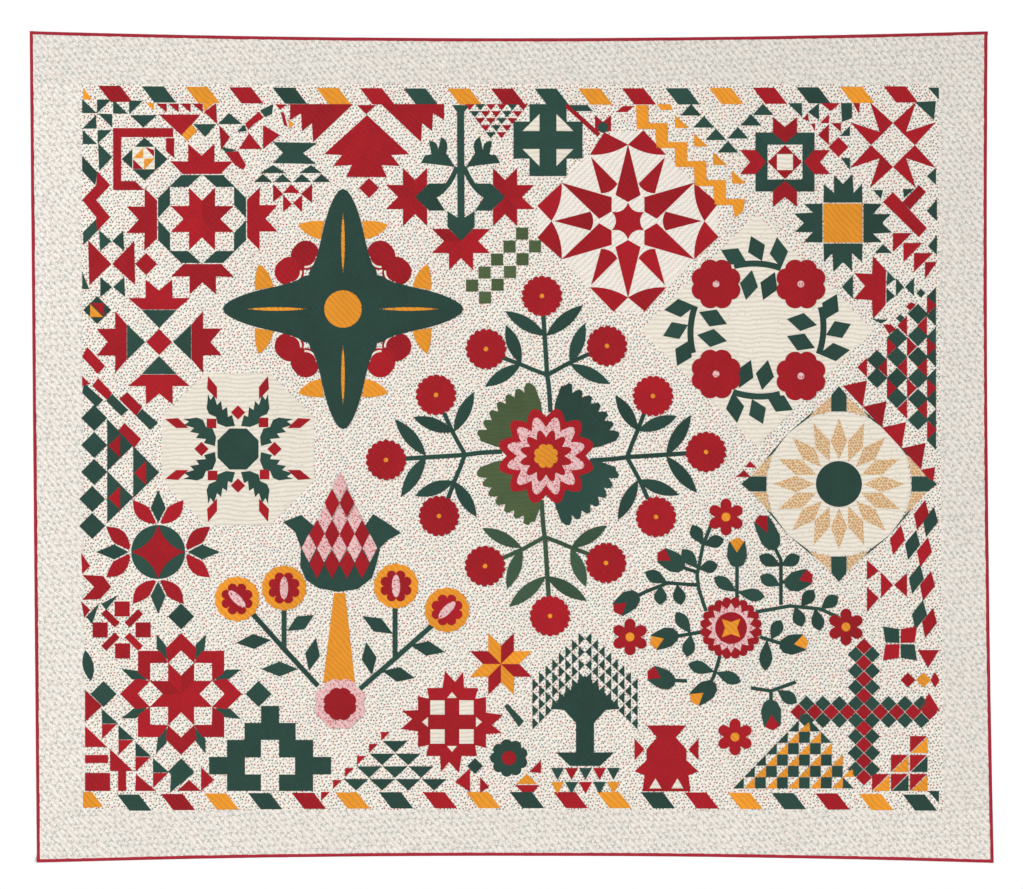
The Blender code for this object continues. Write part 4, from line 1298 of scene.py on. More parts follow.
@dataclass
class Wheel(Block):
    """A carpenter's wheel.

    Args:
        tip: the reach of its middle star.
        upper: True for the kind with half stars, False for the kind with chevrons.
    """

    tip: float = 3.4
    upper: bool = True

    def draft(self, cloth: Cloth) -> None:
        """Adds the star and the rings round it."""
        self.sew(cloth, Cottons.RED, lemoyne(self.tip))
        if self.upper:
            slip = [(-2.1, 4.4), (-0.1, 4.4), (-1.4, 3.2), (-3.3, 3.2)]
            half = [(-1.95, 4.5), (-3.2, 5.8), (-1.4, 5.75), (-1.4, 7.55), (-0.05, 6.35),
                    (1.25, 7.55), (1.25, 5.75), (3.1, 5.75), (1.85, 4.5)]
            self.sew(cloth, Cottons.RED, around(half))
            self.sew(cloth, Cottons.GREEN, both_ways(slip))
            return
        chevron = [(0, 6.1), (1.6, 4.5), (1.3, 3.1), (0, 4.35), (-1.3, 3.1), (-1.6, 4.5)]
        slip = [(-2.45, 6.0), (-1.45, 4.75), (-1.4, 3.4), (-2.45, 4.5)]
        self.sew(cloth, Cottons.RED, around(chevron, 8))
        self.sew(cloth, Cottons.GREEN, around(slip, 8))
        self.sew(cloth, Cottons.GREEN, around(diamond((0.0, 7.75), 1.3)))


@dataclass
class FourFlower(Block):
    """Four half stars that stand on green triangles round a small diamond."""

    def draft(self, cloth: Cloth) -> None:
        """Adds the flowers and the diamond."""
        half = [(-1.75, 3.25), (-3.1, 4.4), (-1.35, 4.4), (-1.35, 6.25), (0.0, 5.15),
                (1.3, 6.25), (1.35, 4.4), (3.1, 4.4), (1.75, 3.25)]
        self.sew(cloth, Cottons.GREEN, around([(-1.75, 3.2), (1.75, 3.2), (0.0, 1.4)]))
        self.sew(cloth, Cottons.RED, around(half) + [diamond((0.0, 0.0), 1.3)])


@dataclass
class Melon(Block):
    """A round medallion with a concave diamond and four long flowers."""

    def draft(self, cloth: Cloth) -> None:
        """Adds the disc, the diamond, the kites and the petals."""
        hollow = []
        for i in range(4):
            start, end = polar(2.7, 90.0 * i), polar(2.7, 90.0 * i + 90.0)
            hollow += bent(start, polar(0.9, 90.0 * i + 45.0), end, 8)[:-1]
        kite = [(0.0, 2.95), (0.75, 4.4), (0.0, 6.2), (-0.75, 4.4)]
        petal = ([(0.2, 2.95), (0.85, 4.3)] + bent((1.0, 4.5), (1.6, 4.9), (2.55, 5.2), 4)
                 + bent((2.45, 4.3), (2.2, 3.0), (0.45, 2.8), 6))
        self.sew(cloth, Cottons.GREEN, [disc((0.0, 0.0), 2.7, 40)] + around(kite))
        self.sew(cloth, Cottons.RED, [hollow], 2.2)
        self.sew(cloth, Cottons.RED, both_ways(petal))


@dataclass
class FeatheredStar(Block):
    """The on-point feathered star with eight jagged leaves."""

    def leaf_pair(self) -> Outline:
        """One of the jagged leaves, for the upper side's left half."""
        return [(-0.3, 2.3), (-0.6, 3.4), (-1.0, 3.2), (-1.1, 4.2), (-1.55, 3.9), (-1.7, 4.8),
                (-2.1, 4.4), (-2.4, 5.4), (-2.75, 4.9), (-3.0, 5.5), (-3.05, 4.75),
                (-3.15, 4.1), (-2.9, 3.5), (-2.2, 3.2), (-2.05, 2.55), (-1.2, 2.2)]

    def draft(self, cloth: Cloth) -> None:
        """Adds the octagon, squares, diamonds, leaves and outer slips."""
        self.sew(cloth, Cottons.GREEN, [octagon((0.0, 0.0), 2.05, 0.85)])
        self.sew(cloth, Cottons.RED, around(square((2.55, 2.65), 0.48)))
        self.sew(cloth, Cottons.RED, around(diamond((0.0, 3.65), 0.72)))
        leaf_left = self.leaf_pair()
        self.sew(cloth, Cottons.GREEN, both_ways(leaf_left))
        slip = [(-3.0, 7.3), (-2.1, 6.2), (-2.1, 4.95), (-3.1, 6.0)]
        self.sew(cloth, Cottons.RED, both_ways(slip))


@dataclass
class OakCross(Block):
    """The large green oak-leaf cross with its orange disc and slits."""

    def arm(self) -> Outline:
        """The upper arm's outline, from left to right."""
        left = [(-3.4, 3.4), (-3.3, 3.9), (-2.95, 4.5), (-2.6, 5.4), (-2.3, 6.5), (-2.05, 7.6),
                (-1.8, 8.7), (-1.5, 9.7), (-1.15, 10.6), (-0.8, 11.3), (-0.4, 11.85)]
        return left + [(0.0, 12.0)] + [(-x, z) for x, z in reversed(left)]

    def draft(self, cloth: Cloth) -> None:
        """Adds the cross as one cloth, with slits on top."""
        arm = self.arm()
        cross = arm + turned(arm, -90.0) + turned(arm, 180.0) + turned(arm, 90.0)
        self.sew(cloth, Cottons.GREEN, [cross], 2.2, 0.0005)
        slit = leaf((0.0, 3.3), (0.0, 9.9), 0.42)
        self.sew(cloth, Cottons.ORANGE, around(slit), 3.0)


@dataclass
class OakPetals(Block):
    """The red hooks and orange petals round the oak cross."""

    def draft(self, cloth: Cloth) -> None:
        """Adds eight of each."""
        swirl = lobed((3.75, 5.35), 1.5, 3, 0.06, 40.0)
        curl = ribbon([polar(1.15, bearing, (3.75, 5.35)) for bearing in range(185, 276, 15)], 0.2)
        petal = (bent((4.5, 8.4), (3.6, 8.9), (1.9, 8.8), 5)
                 + bent((2.2, 7.0), (3.4, 7.1), (4.5, 8.3), 6)[:-1])
        self.sew(cloth, Cottons.RED, both_ways(swirl), 1.2)
        self.sew(cloth, Cottons.ORANGE, both_ways(petal), 1.6)
        self.sew(cloth, Cottons.CREAM, both_ways(curl), 2.0)


@dataclass
class OakDisc(Block):
    """The orange disc on the oak cross."""

    def draft(self, cloth: Cloth) -> None:
        """Adds the disc."""
        self.sew(cloth, Cottons.ORANGE, [disc((0.0, 0.0), 1.9, 36)], 3.0, 0.0004)


@dataclass
class Compass(Block):
    """The six-fold mariner's compass in its octagon."""

    def draft(self, cloth: Cloth) -> None:
        """Adds the kites, the middle star and the outer pieces."""
        tip = [(1.9, 0.0), (2.6, 1.25), (7.7, 0.0), (2.6, -1.25)]
        self.sew(cloth, Cottons.RED, around(tip, 6, 30.0))
        base = bent((3.75, -0.95), (3.2, 0.0), (3.75, 0.95), 5)
        self.sew(cloth, Cottons.RED, around(base + [(7.4, 0.0)], 6, 0.0))
        hub = []
        for i in range(6):
            hub += bent(polar(1.85, 60.0 * i + 30.0), polar(0.8, 60.0 * i + 60.0),
                        polar(1.85, 60.0 * i + 90.0), 5)[:-1]
        self.sew(cloth, Cottons.RED, [hub])
        for peak, low in ((105.0, 90.0), (80.5, 60.0), (11.0, 0.0), (-10.0, -30.0),
                          (170.5, 150.0), (190.5, 180.0), (261.0, 240.0), (280.5, 270.0)):
            arc = bent(polar(7.65, low), polar(6.75, low + 15.0), polar(7.65, low + 30.0), 7)
            self.sew(cloth, Cottons.RED, [[polar(9.2, peak)] + arc[::-1]])


@dataclass
class TulipRing(Block):
    """The green frame with four tulips and a red diamond inside."""

    def draft(self, cloth: Cloth) -> None:
        """Adds the frame's four bars, the tulips and the inner diamond."""
        bar = [(-2.95, 2.95), (2.95, 2.95), (1.75, 1.75), (-1.75, 1.75)]
        self.sew(cloth, Cottons.GREEN, around(bar))
        tulip = [(-1.2, 4.5), (0.0, 3.5), (1.2, 4.5), (1.2, 2.9), (0.0, 1.9), (-1.2, 2.9)]
        self.sew(cloth, Cottons.RED, around(tulip), 2.2)
        self.sew(cloth, Cottons.RED, [diamond((0.0, 0.0), 1.7)])
        self.sew(cloth, Cottons.CREAM, [square((0.0, 0.0), 0.8)], 2.2)


@dataclass
class Kaleidoscope(Block):
    """Eight kites round a pale diamond."""

    def draft(self, cloth: Cloth) -> None:
        """Adds the kites and the edge corners."""
        kite = [(-2.3, 4.3), (0.0, 2.2), (-1.2, 0.95)]
        self.sew(cloth, Cottons.RED, both_ways(kite))
        self.sew(cloth, Cottons.GREEN, [[(2.2, 4.3), (4.3, 4.4), (4.1, 2.5)],
                                        [(4.3, -2.3), (3.4, -3.1), (4.3, -4.0)]])


@dataclass
class SawtoothStar(Block):
    """The orange square with sawtooth sides."""

    def draft(self, cloth: Cloth) -> None:
        """Adds the square and its four toothed sides."""
        self.sew(cloth, Cottons.ORANGE, [square((0.0, 0.0), 1.95)])
        side = [(-1.95, 2.05), (-1.9, 3.9), (-0.9, 3.0), (-0.9, 4.8), (0.0, 3.9), (0.95, 4.9),
                (1.05, 3.0), (1.9, 3.9), (1.95, 2.05)]
        self.sew(cloth, Cottons.GREEN, around(side))


@dataclass
class CentreRose(Block):
    """The middle rose: red scallops, a pink ring, a red heart and an orange eye."""

    def draft(self, cloth: Cloth) -> None:
        """Adds the outer scallops and the heart."""
        self.sew(cloth, Cottons.RED, [lobed((0.0, 0.0), 4.9, 12, 0.2, 0.0, 1.3)], 2.4, 0.0006)
        self.sew(cloth, Cottons.RED, [lobed((0.0, 0.0), 2.65, 12, 0.3, 0.0, 1.3)], 4.4, 0.0004)
        self.sew(cloth, Cottons.ORANGE, [lobed((0.0, 0.0), 1.25, 8, 0.16)], 5.2, 0.0004)


@dataclass
class RoseRing(Block):
    """The pink printed ring of the middle rose."""

    def draft(self, cloth: Cloth) -> None:
        """Adds the pink scallops."""
        self.sew(cloth, Cottons.PINK, [lobed((0.0, 0.0), 4.0, 12, 0.28, 0.0, 1.3)], 3.4, 0.0004)


@dataclass
class CentreSpray(Block):
    """The stems, leaves and small roses round the middle rose."""

    def draft(self, cloth: Cloth) -> None:
        """Adds one arm four times, with its own leaves and roses."""
        stems = [ribbon([(0.45, 4.4), (0.3, 6.8), (0.1, 8.3), (-0.3, 14.6)], 0.45),
                 ribbon([(0.15, 8.1), (-1.2, 8.6), (-2.5, 9.15), (-4.5, 9.9)], 0.42),
                 ribbon([(0.15, 8.1), (1.2, 8.7), (2.3, 9.3), (4.3, 10.2)], 0.42)]
        leaves = [leaf((0.0, 12.0), (-4.1, 14.5), 1.3), leaf((0.0, 12.0), (3.7, 15.1), 1.3),
                  leaf((-2.5, 9.2), (-4.0, 13.1), 1.3), leaf((-2.5, 9.2), (-6.1, 6.95), 1.25),
                  leaf((2.4, 9.2), (3.9, 13.3), 1.3), leaf((2.4, 9.2), (6.4, 7.2), 1.25)]
        roses = [(-0.4, 16.0), (-6.0, 10.7), (6.1, 11.0)]
        for arm in range(4):
            turn = -90.0 * arm
            fabric = Cottons.FADED if arm == 2 else Cottons.GREEN
            self.sew(cloth, fabric, [turned(s, turn) for s in stems], 1.2)
            self.sew(cloth, fabric, [turned(s, turn) for s in leaves], 1.6, 0.0003)
            for i, rose in enumerate(roses):
                middle = turned([rose], turn)[0]
                self.sew(cloth, Cottons.RED, [lobed(middle, 2.05, 18, 0.1, 9.0 * i)], 2.2, 0.0005)
                self.sew(cloth, Cottons.ORANGE, [disc(middle, 0.27, 8)], 3.0)


@dataclass
class OakLeaves(Block):
    """The four scalloped oak leaves at the middle rose's corners."""

    def leaf_outline(self) -> Outline:
        """The leaf that points up and to the right."""
        fan = [polar(3.0, 8.0), polar(5.2, 8.0), polar(6.9, 11.0)]
        for i in range(7):
            bearing = 12.0 + 66.0 * i / 7.0
            reach = 7.35 if i in (0, 6) else 7.15
            fan += [polar(reach, bearing + 2.2), polar(reach + 0.05, bearing + 5.2),
                    polar(reach - 0.35, bearing + 7.8), polar(6.55, bearing + 9.2)]
        return fan[:-1] + [polar(6.9, 79.0), polar(5.2, 82.0), polar(3.0, 82.0)]

    def draft(self, cloth: Cloth) -> None:
        """Adds the four leaves, faded on the left."""
        one = self.leaf_outline()
        self.sew(cloth, Cottons.GREEN, [one, turned(one, -90.0)], 1.8, 0.0004)
        self.sew(cloth, Cottons.OLIVE, [turned(one, 90.0), turned(one, 180.0)], 1.8, 0.0004)


@dataclass
class RoseWreath(Block):
    """Four roses joined by bent stems with rhombic leaves."""

    def draft(self, cloth: Cloth) -> None:
        """Adds stems, leaves and roses with printed middles."""
        stem = ribbon(bent((-2.3, 6.4), (0.0, 7.0), (2.4, 6.2), 8), 0.62)
        self.sew(cloth, Cottons.GREEN, around(stem), 1.3)
        tips = [((-3.6, 8.0), (-1.0, 6.7)), ((-0.6, 9.4), (0.5, 6.9)), ((2.0, 9.3), (2.4, 6.2)),
                ((-0.5, 6.0), (-1.1, 3.0)), ((1.8, 5.8), (0.6, 3.0))]
        slips = [rhomb(a, b, 1.85) for a, b in tips]
        for turn in (0.0, 90.0, 180.0, 270.0):
            self.sew(cloth, Cottons.GREEN, [turned(s, turn) for s in slips], 1.7)
        for x, z in ((-4.1, 4.6), (4.4, 4.6), (-4.1, -4.4), (4.4, -4.6)):
            self.sew(cloth, Cottons.RED, [lobed((x, z), 2.55, 8, 0.13)], 2.3, 0.0006)
            self.sew(cloth, Cottons.PINK, [disc((x, z), 0.38, 12)], 3.2)


@dataclass
class Sunflower(Block):
    """The large plate: a green disc, tan kites, a white round and a pieced diamond frame."""

    def draft(self, cloth: Cloth) -> None:
        """Adds the kites and the frame's tips."""
        self.sew(cloth, Cottons.CREAM, [disc((0.0, 0.0), 7.15, 48)], 0.9)
        self.sew(cloth, Cottons.GREEN, [disc((0.0, 0.0), 2.3, 32)], 1.8)
        kite = [(2.4, 0.0), (4.3, 0.82), (6.6, 0.0), (4.3, -0.82)]
        self.sew(cloth, Cottons.CHECK, around(kite, 16))
        block = [(-0.75, 7.25), (0.75, 7.25), (0.75, 8.9), (0.0, 9.8), (-0.75, 8.9)]
        side = [(-0.8, 8.75), (-0.8, 7.25), (-1.9, 7.0), (-2.9, 6.7), (-2.3, 7.4)]
        self.sew(cloth, Cottons.GREEN, around(block))
        self.sew(cloth, Cottons.CHECK, both_ways(side))
        sliver = [(-2.45, 7.35), (-3.0, 6.65), (-5.2, 5.0)]
        self.sew(cloth, Cottons.GREEN, both_ways(sliver))


@dataclass
class Pine(Block):
    """The stepped red pine between two feathered wings."""

    def draft(self, cloth: Cloth) -> None:
        """Adds the tree, its trunk diamond and the wings."""
        half = [(0.1, 3.1), (4.3, -0.8), (2.5, -0.9), (3.4, -2.0), (1.5, -1.9), (2.1, -3.1)]
        tree = half + [(-x + 0.1, z) for x, z in reversed(half[1:])]
        wing = [(-7.6, 4.2), (-1.3, 4.2), (-5.3, 0.4), (-5.4, 2.3), (-6.4, 1.5), (-6.5, 3.3),
                (-7.6, 2.6)]
        self.sew(cloth, Cottons.RED, [tree, diamond((0.3, -4.2), 1.0), wing,
                                      [(0.2 - x, z) for x, z in wing],
                                      [(-0.9, 4.1), (1.0, 4.1), (0.0, 3.2)]])


@dataclass
class Lily(Block):
    """The lily spray: a straight stem, two leaves and three flowers in green cups."""

    def flower(self, bearing: float) -> tuple[list[Outline], Outline]:
        """A flower that points along a bearing, with its cup."""
        points = lemoyne(3.15, 22.5 + bearing)
        open_side = [points[i] for i in (0, 1, 2, 5, 6, 7)]
        cup = [(0.0, 0.0), (-1.4, 1.35), (-3.0, 1.35), (-2.1, 0.0), (-3.0, -1.35), (-1.4, -1.35)]
        return open_side, turned(cup, bearing)

    def draft(self, cloth: Cloth) -> None:
        """Adds the stem, the branches, the leaves and the flowers."""
        stem = [(-0.8, 5.9), (1.0, 5.9), (0.4, 5.2), (0.45, -5.6), (-0.25, -5.6), (-0.3, 5.2)]
        leaf_left = (bent((-0.5, -0.3), (-2.4, 0.0), (-3.9, 0.1), 5)
                     + bent((-3.5, 0.9), (-2.6, 0.9), (-2.9, 1.2), 4)
                     + bent((-3.1, 2.3), (-2.2, 2.4), (-2.2, 1.3), 5)
                     + bent((-1.9, 2.7), (-1.0, 2.4), (-1.4, 1.1), 5))
        self.sew(cloth, Cottons.GREEN, [stem, leaf_left, [(0.1 - x, z) for x, z in leaf_left],
                                        ribbon(bent((-0.3, -0.3), (-1.2, -2.6), (-2.6, -3.2)), 0.5),
                                        ribbon(bent((0.4, -0.3), (1.3, -2.6), (2.6, -3.2)), 0.5)])
        for bearing, middle in ((180.0, (-4.5, -3.3)), (0.0, (4.5, -3.3)), (270.0, (0.1, -7.7))):
            petals, cup = self.flower(bearing)
            self.sew(cloth, Cottons.RED, placed(middle, petals), 1.4)
            self.sew(cloth, Cottons.GREEN, placed(middle, [cup]), 1.9)


@dataclass
class ZigzagGeese(Block):
    """The orange stair zigzag with its triangles and the green geese beside it."""

    steps: int = 5
    run: float = 1.93

    def draft(self, cloth: Cloth) -> None:
        """Adds the stair, the orange triangles and the geese."""
        outer, inner = [(0.0, 0.0)], [(1.25, 0.0)]
        for i in range(self.steps):
            x, z = self.run * i, -1.9 * (i + 1)
            outer += [(x + 0.1, z - 0.5), (x + self.run, z - 0.5)]
            inner += [(x + 1.25, z + 0.1), (x + self.run + 1.25, z + 0.1)]
        stair = outer + [(9.9, -11.3), (10.7, -10.6)] + inner[::-1]
        tooth = [(0.0, 0.0), (1.4, -1.3), (0.0, -1.3)]
        self.sew(cloth, Cottons.ORANGE, [stair] + [
            moved(tooth, (3.9 + 1.9 * i, -1.0 - 1.85 * i)) for i in range(4)
        ] + [[(2.1, 0.1), (3.4, 0.1), (3.7, -0.5), (2.5, -0.5)]])
        goose = [(0.0, 0.0), (1.05, -1.15), (-1.05, -1.15)]
        places = [(5.5, 0.1), (6.8, -1.1), (8.0, -2.35), (9.2, -3.6), (10.2, -2.2), (11.5, -0.9),
                  (12.7, 0.15)]
        self.sew(cloth, Cottons.GREEN, [moved(goose, p) for p in places])


@dataclass
class CrossCorner(Block):
    """The green cross with its white corners, and the small red tulip beside it."""

    def draft(self, cloth: Cloth) -> None:
        """Adds the cross, the tulip and the small triangles at its left."""
        arm = [(-1.85, 3.6), (1.85, 3.6), (1.85, 1.85), (3.45, 1.85), (3.45, -1.85),
               (1.85, -1.85), (1.85, -3.6), (-1.85, -3.6), (-1.85, -1.85), (-3.45, -1.85),
               (-3.45, 1.85), (-1.85, 1.85)]
        self.sew(cloth, Cottons.GREEN, placed((3.8, 0.0), [arm]))
        slip = [(-0.85, 2.6), (-0.85, 0.9), (-2.55, 0.9)]
        corners = [slip, mirrored(slip), mirrored(slip, False), mirrored(mirrored(slip), False)]
        self.sew(cloth, Cottons.CREAM, placed((3.8, 0.0), corners), 2.1)
        self.sew(cloth, Cottons.RED, [ribbon([(5.6, 3.5), (8.9, 0.5)], 0.45),
                                      [(8.5, 2.5), (9.3, 1.8), (10.1, 2.5), (10.1, 0.9),
                                       (8.5, 0.9)],
                                      [(10.6, 2.8), (11.3, 3.4), (12.4, 3.4), (11.7, 2.8)]])
        self.sew(cloth, Cottons.GREEN, [[(5.9, 3.5), (7.7, 3.5), (8.3, 2.9), (6.4, 2.9)],
                                        disc((9.3, 1.25), 0.55, 8)], 2.0)
        for row in range(5):
            for i in range(6 - row):
                x, z = -4.55 + 1.07 * i + 0.53 * row, 3.6 - 0.7 * row
                fabric = Cottons.GREEN if (i + row) % 3 == 1 else Cottons.RED
                self.sew(cloth, fabric, [[(x, z), (x + 1.0, z), (x + 0.5, z - 0.62)]])


@dataclass
class CornerSampler(Block):
    """The top left corner: half squares, the open ring, sawteeth, a fan, pinwheels, zigzag."""

    def draft(self, cloth: Cloth) -> None:
        """Adds the corner's patches, drafted from the quilt's middle."""
        low = [(0.0, 0.0), (1.45, -1.4), (0.0, -1.4)]
        high = [(0.0, 0.0), (1.4, 0.0), (0.0, -1.35)]
        self.sew(cloth, Cottons.GREEN, [moved(low, p) for p in
                                        ((-42.9, 34.8), (-39.8, 34.75), (-42.85, 31.7))])
        self.sew(cloth, Cottons.GREEN, [moved(high, p) for p in
                                        ((-41.4, 34.75), (-38.2, 34.65), (-41.35, 31.7))])
        self.sew(cloth, Cottons.GREEN, [
            [(-38.1, 33.2), (-35.4, 33.2), (-36.8, 31.95)],
            [(-41.5, 33.25), (-41.5, 31.85), (-42.85, 31.85)],
            [(-41.3, 33.35), (-39.9, 33.3), (-39.9, 31.95)],
            [(-41.3, 30.4), (-39.9, 29.0), (-41.2, 27.6)],
            [(-42.9, 29.1), (-41.4, 27.5), (-41.6, 26.2), (-42.9, 27.6)],
            [(-41.5, 22.8), (-41.4, 21.6), (-42.8, 20.2), (-42.8, 21.5)],
        ])
        self.sew(cloth, Cottons.RED, [
            [(-41.4, 27.6), (-40.1, 26.2), (-41.5, 24.7), (-40.1, 23.0), (-41.4, 21.6),
             (-41.5, 23.0), (-42.9, 24.7), (-41.5, 26.2)],
            [(-39.8, 31.9), (-33.8, 31.9), (-33.8, 31.0), (-39.0, 31.0), (-39.0, 25.7),
             (-39.8, 25.7)],
            [(-34.5, 30.9), (-33.7, 30.9), (-33.7, 28.9), (-34.5, 29.6)],
            [(-39.0, 26.6), (-37.6, 26.6), (-36.7, 25.7), (-39.0, 25.7)],
            [(-35.2, 33.25), (-31.1, 33.25), (-32.9, 31.1)],
            [(-29.5, 34.4), (-29.4, 32.3), (-30.7, 33.5)],
            [(-29.2, 32.2), (-28.1, 31.0), (-29.0, 29.7)],
            [(-28.6, 29.5), (-27.3, 29.6), (-26.5, 28.2), (-26.8, 27.7), (-27.6, 28.2)],
            [(-26.2, 31.4), (-24.9, 29.8), (-27.2, 29.8)],
            [(-24.8, 32.2), (-23.1, 31.2), (-24.8, 29.8)],
            [(-26.6, 32.35), (-25.2, 33.55), (-24.75, 32.95), (-25.7, 32.3), (-26.3, 31.7)],
            [(-23.6, 34.3), (-22.4, 34.25), (-23.1, 33.75)],
            [(-23.05, 33.5), (-22.7, 33.4), (-22.35, 32.0), (-22.7, 32.2)],
        ] + [[(-35.5 + 1.2 * i, 34.35), (-34.45 + 1.2 * i, 34.35), (-34.45 + 1.2 * i, 33.45)]
             for i in range(4)])
        ring = diamond((-36.65, 28.8), 2.3, 2.15)
        self.sew(cloth, Cottons.GREEN, [ring])
        self.sew(cloth, Cottons.CREAM, [square((-36.75, 28.9), 1.12)], 2.0)
        self.sew(cloth, Cottons.ORANGE, [
            [(-36.8, 29.9), (-36.8, 28.9), (-37.8, 28.9)],
            [(-36.7, 28.8), (-35.6, 28.9), (-36.7, 27.7)],
        ], 2.6)
        self.sew(cloth, Cottons.RED, [
            [(-36.6, 30.0), (-35.7, 29.7), (-35.7, 29.0)],
            [(-37.8, 28.8), (-36.8, 27.8), (-37.8, 27.8)],
        ], 2.6)
        self.sew(cloth, Cottons.ORANGE, [
            [(-36.5, 34.4), (-35.7, 34.4), (-35.8, 33.7)],
            [(-33.0, 31.3), (-32.0, 32.3), (-31.4, 31.6), (-32.4, 30.6)],
            [(-30.8, 34.4), (-29.7, 34.4), (-30.7, 33.6)],
            [(-22.25, 32.75), (-21.7, 32.3), (-22.2, 31.8)],
        ])
        self.sew(cloth, Cottons.GREEN, [
            [(-31.8, 32.3), (-29.5, 32.3), (-30.6, 31.0)],
            [(-28.2, 33.4), (-26.9, 32.3), (-29.3, 32.3)],
            [(-29.0, 30.0), (-27.4, 29.7), (-28.5, 29.4)],
            [(-27.4, 31.5), (-26.7, 32.25), (-26.4, 31.6)],
            [(-25.1, 33.65), (-23.8, 34.3), (-23.9, 33.3), (-24.6, 33.0)],
        ])
        self.small(cloth)

    def small(self, cloth: Cloth) -> None:
        """The bow ties below and the hourglass block beside the wheel."""
        self.sew(cloth, Cottons.GREEN, [
            [(-41.2, 21.7), (-40.0, 20.6), (-41.1, 19.6)],
            [(-38.8, 21.6), (-38.7, 19.6), (-39.9, 20.6)],
            [(-41.1, 17.0), (-39.9, 16.0), (-41.1, 15.0)],
            [(-38.7, 17.0), (-38.6, 15.0), (-39.8, 16.0)],
            [(-42.9, 17.5), (-42.9, 15.8), (-42.2, 15.8)], diamond((-41.4, 13.7), 1.4),
        ])
        self.sew(cloth, Cottons.RED, [
            [(-42.3, 20.7), (-40.0, 18.3), (-42.2, 16.2)],
            [(-37.7, 20.6), (-37.6, 16.2), (-39.9, 18.3)],
            diamond((-36.5, 18.3), 1.1),
        ])
        self.sew(cloth, Cottons.ORANGE, [[(-42.1, 14.3), (-40.8, 13.0), (-42.1, 13.0)]], 2.1)
        self.sew(cloth, Cottons.RED, [[(-42.0, 14.4), (-40.7, 14.4), (-40.7, 13.1)]], 2.1)
        self.sew(cloth, Cottons.GREEN, [
            [(-23.8, 30.5), (-19.4, 30.4), (-20.8, 29.4), (-19.5, 28.3), (-23.8, 28.4),
             (-22.8, 29.4)],
            [(-23.8, 28.2), (-22.5, 27.4), (-25.1, 27.4)],
            [(-20.0, 28.2), (-18.9, 27.4), (-21.2, 27.4)],
        ] + [[(-25.7 + 1.95 * i, 26.5), (-23.9 + 1.95 * i, 26.5), (-24.8 + 1.95 * i, 27.3)]
             for i in range(4)])
        self.sew(cloth, Cottons.RED, [
            [(-23.8, 26.3), (-22.8, 25.3), (-23.8, 24.5)],
            [(-22.0, 26.3), (-21.1, 25.4), (-22.8, 25.4)],
            [(-19.9, 26.3), (-21.0, 25.3), (-19.9, 24.4)],
            [(-22.8, 25.2), (-21.9, 24.3), (-22.8, 23.5)],
            [(-20.9, 25.2), (-20.9, 23.5), (-21.8, 24.4)],
        ])


@dataclass
class LeftStrips(Block):
    """The slanted strips, diamonds and inset triangles along the left edge."""

    def draft(self, cloth: Cloth) -> None:
        """Adds the strips, the diamonds and the triangles."""
        self.sew(cloth, Cottons.RED, [
            [(-42.4, 10.0), (-40.6, 8.1), (-41.3, 7.3), (-42.9, 9.0)],
            [(-42.9, 7.1), (-42.1, 6.3), (-42.9, 6.1)],
            [(-41.3, 6.9), (-39.9, 5.4), (-40.4, 4.7), (-41.9, 6.1)],
            [(-38.4, 5.5), (-36.9, 4.0), (-37.5, 3.1), (-39.2, 4.8)],
            [(-38.7, 2.4), (-37.0, 0.8), (-37.7, -0.1), (-39.3, 1.6)],
        ])
        self.sew(cloth, Cottons.GREEN, [
            [(-42.7, 6.4), (-40.8, 4.7), (-41.5, 4.0), (-42.9, 5.4)],
            [(-39.9, 5.3), (-38.3, 3.7), (-39.0, 3.1), (-40.5, 4.6)],
            [(-36.9, 3.8), (-35.3, 2.4), (-36.1, 1.7), (-37.5, 3.1)],
        ] + [diamond((-41.7 if i < 3 else -41.9, 2.9 - 2.7 * i), 1.3) for i in range(5)])
        for x, z in ((-40.4, 2.8), (-37.8, 0.1), (-40.4, -2.4)):
            self.sew(cloth, Cottons.GREEN, [[(x, z), (x + 2.6, z - 2.65), (x, z - 5.2)]])
            self.sew(cloth, Cottons.RED, [[(x + 0.1, z - 2.7), (x + 1.3, z - 1.5),
                                           (x + 1.3, z - 3.9)]], 2.1)


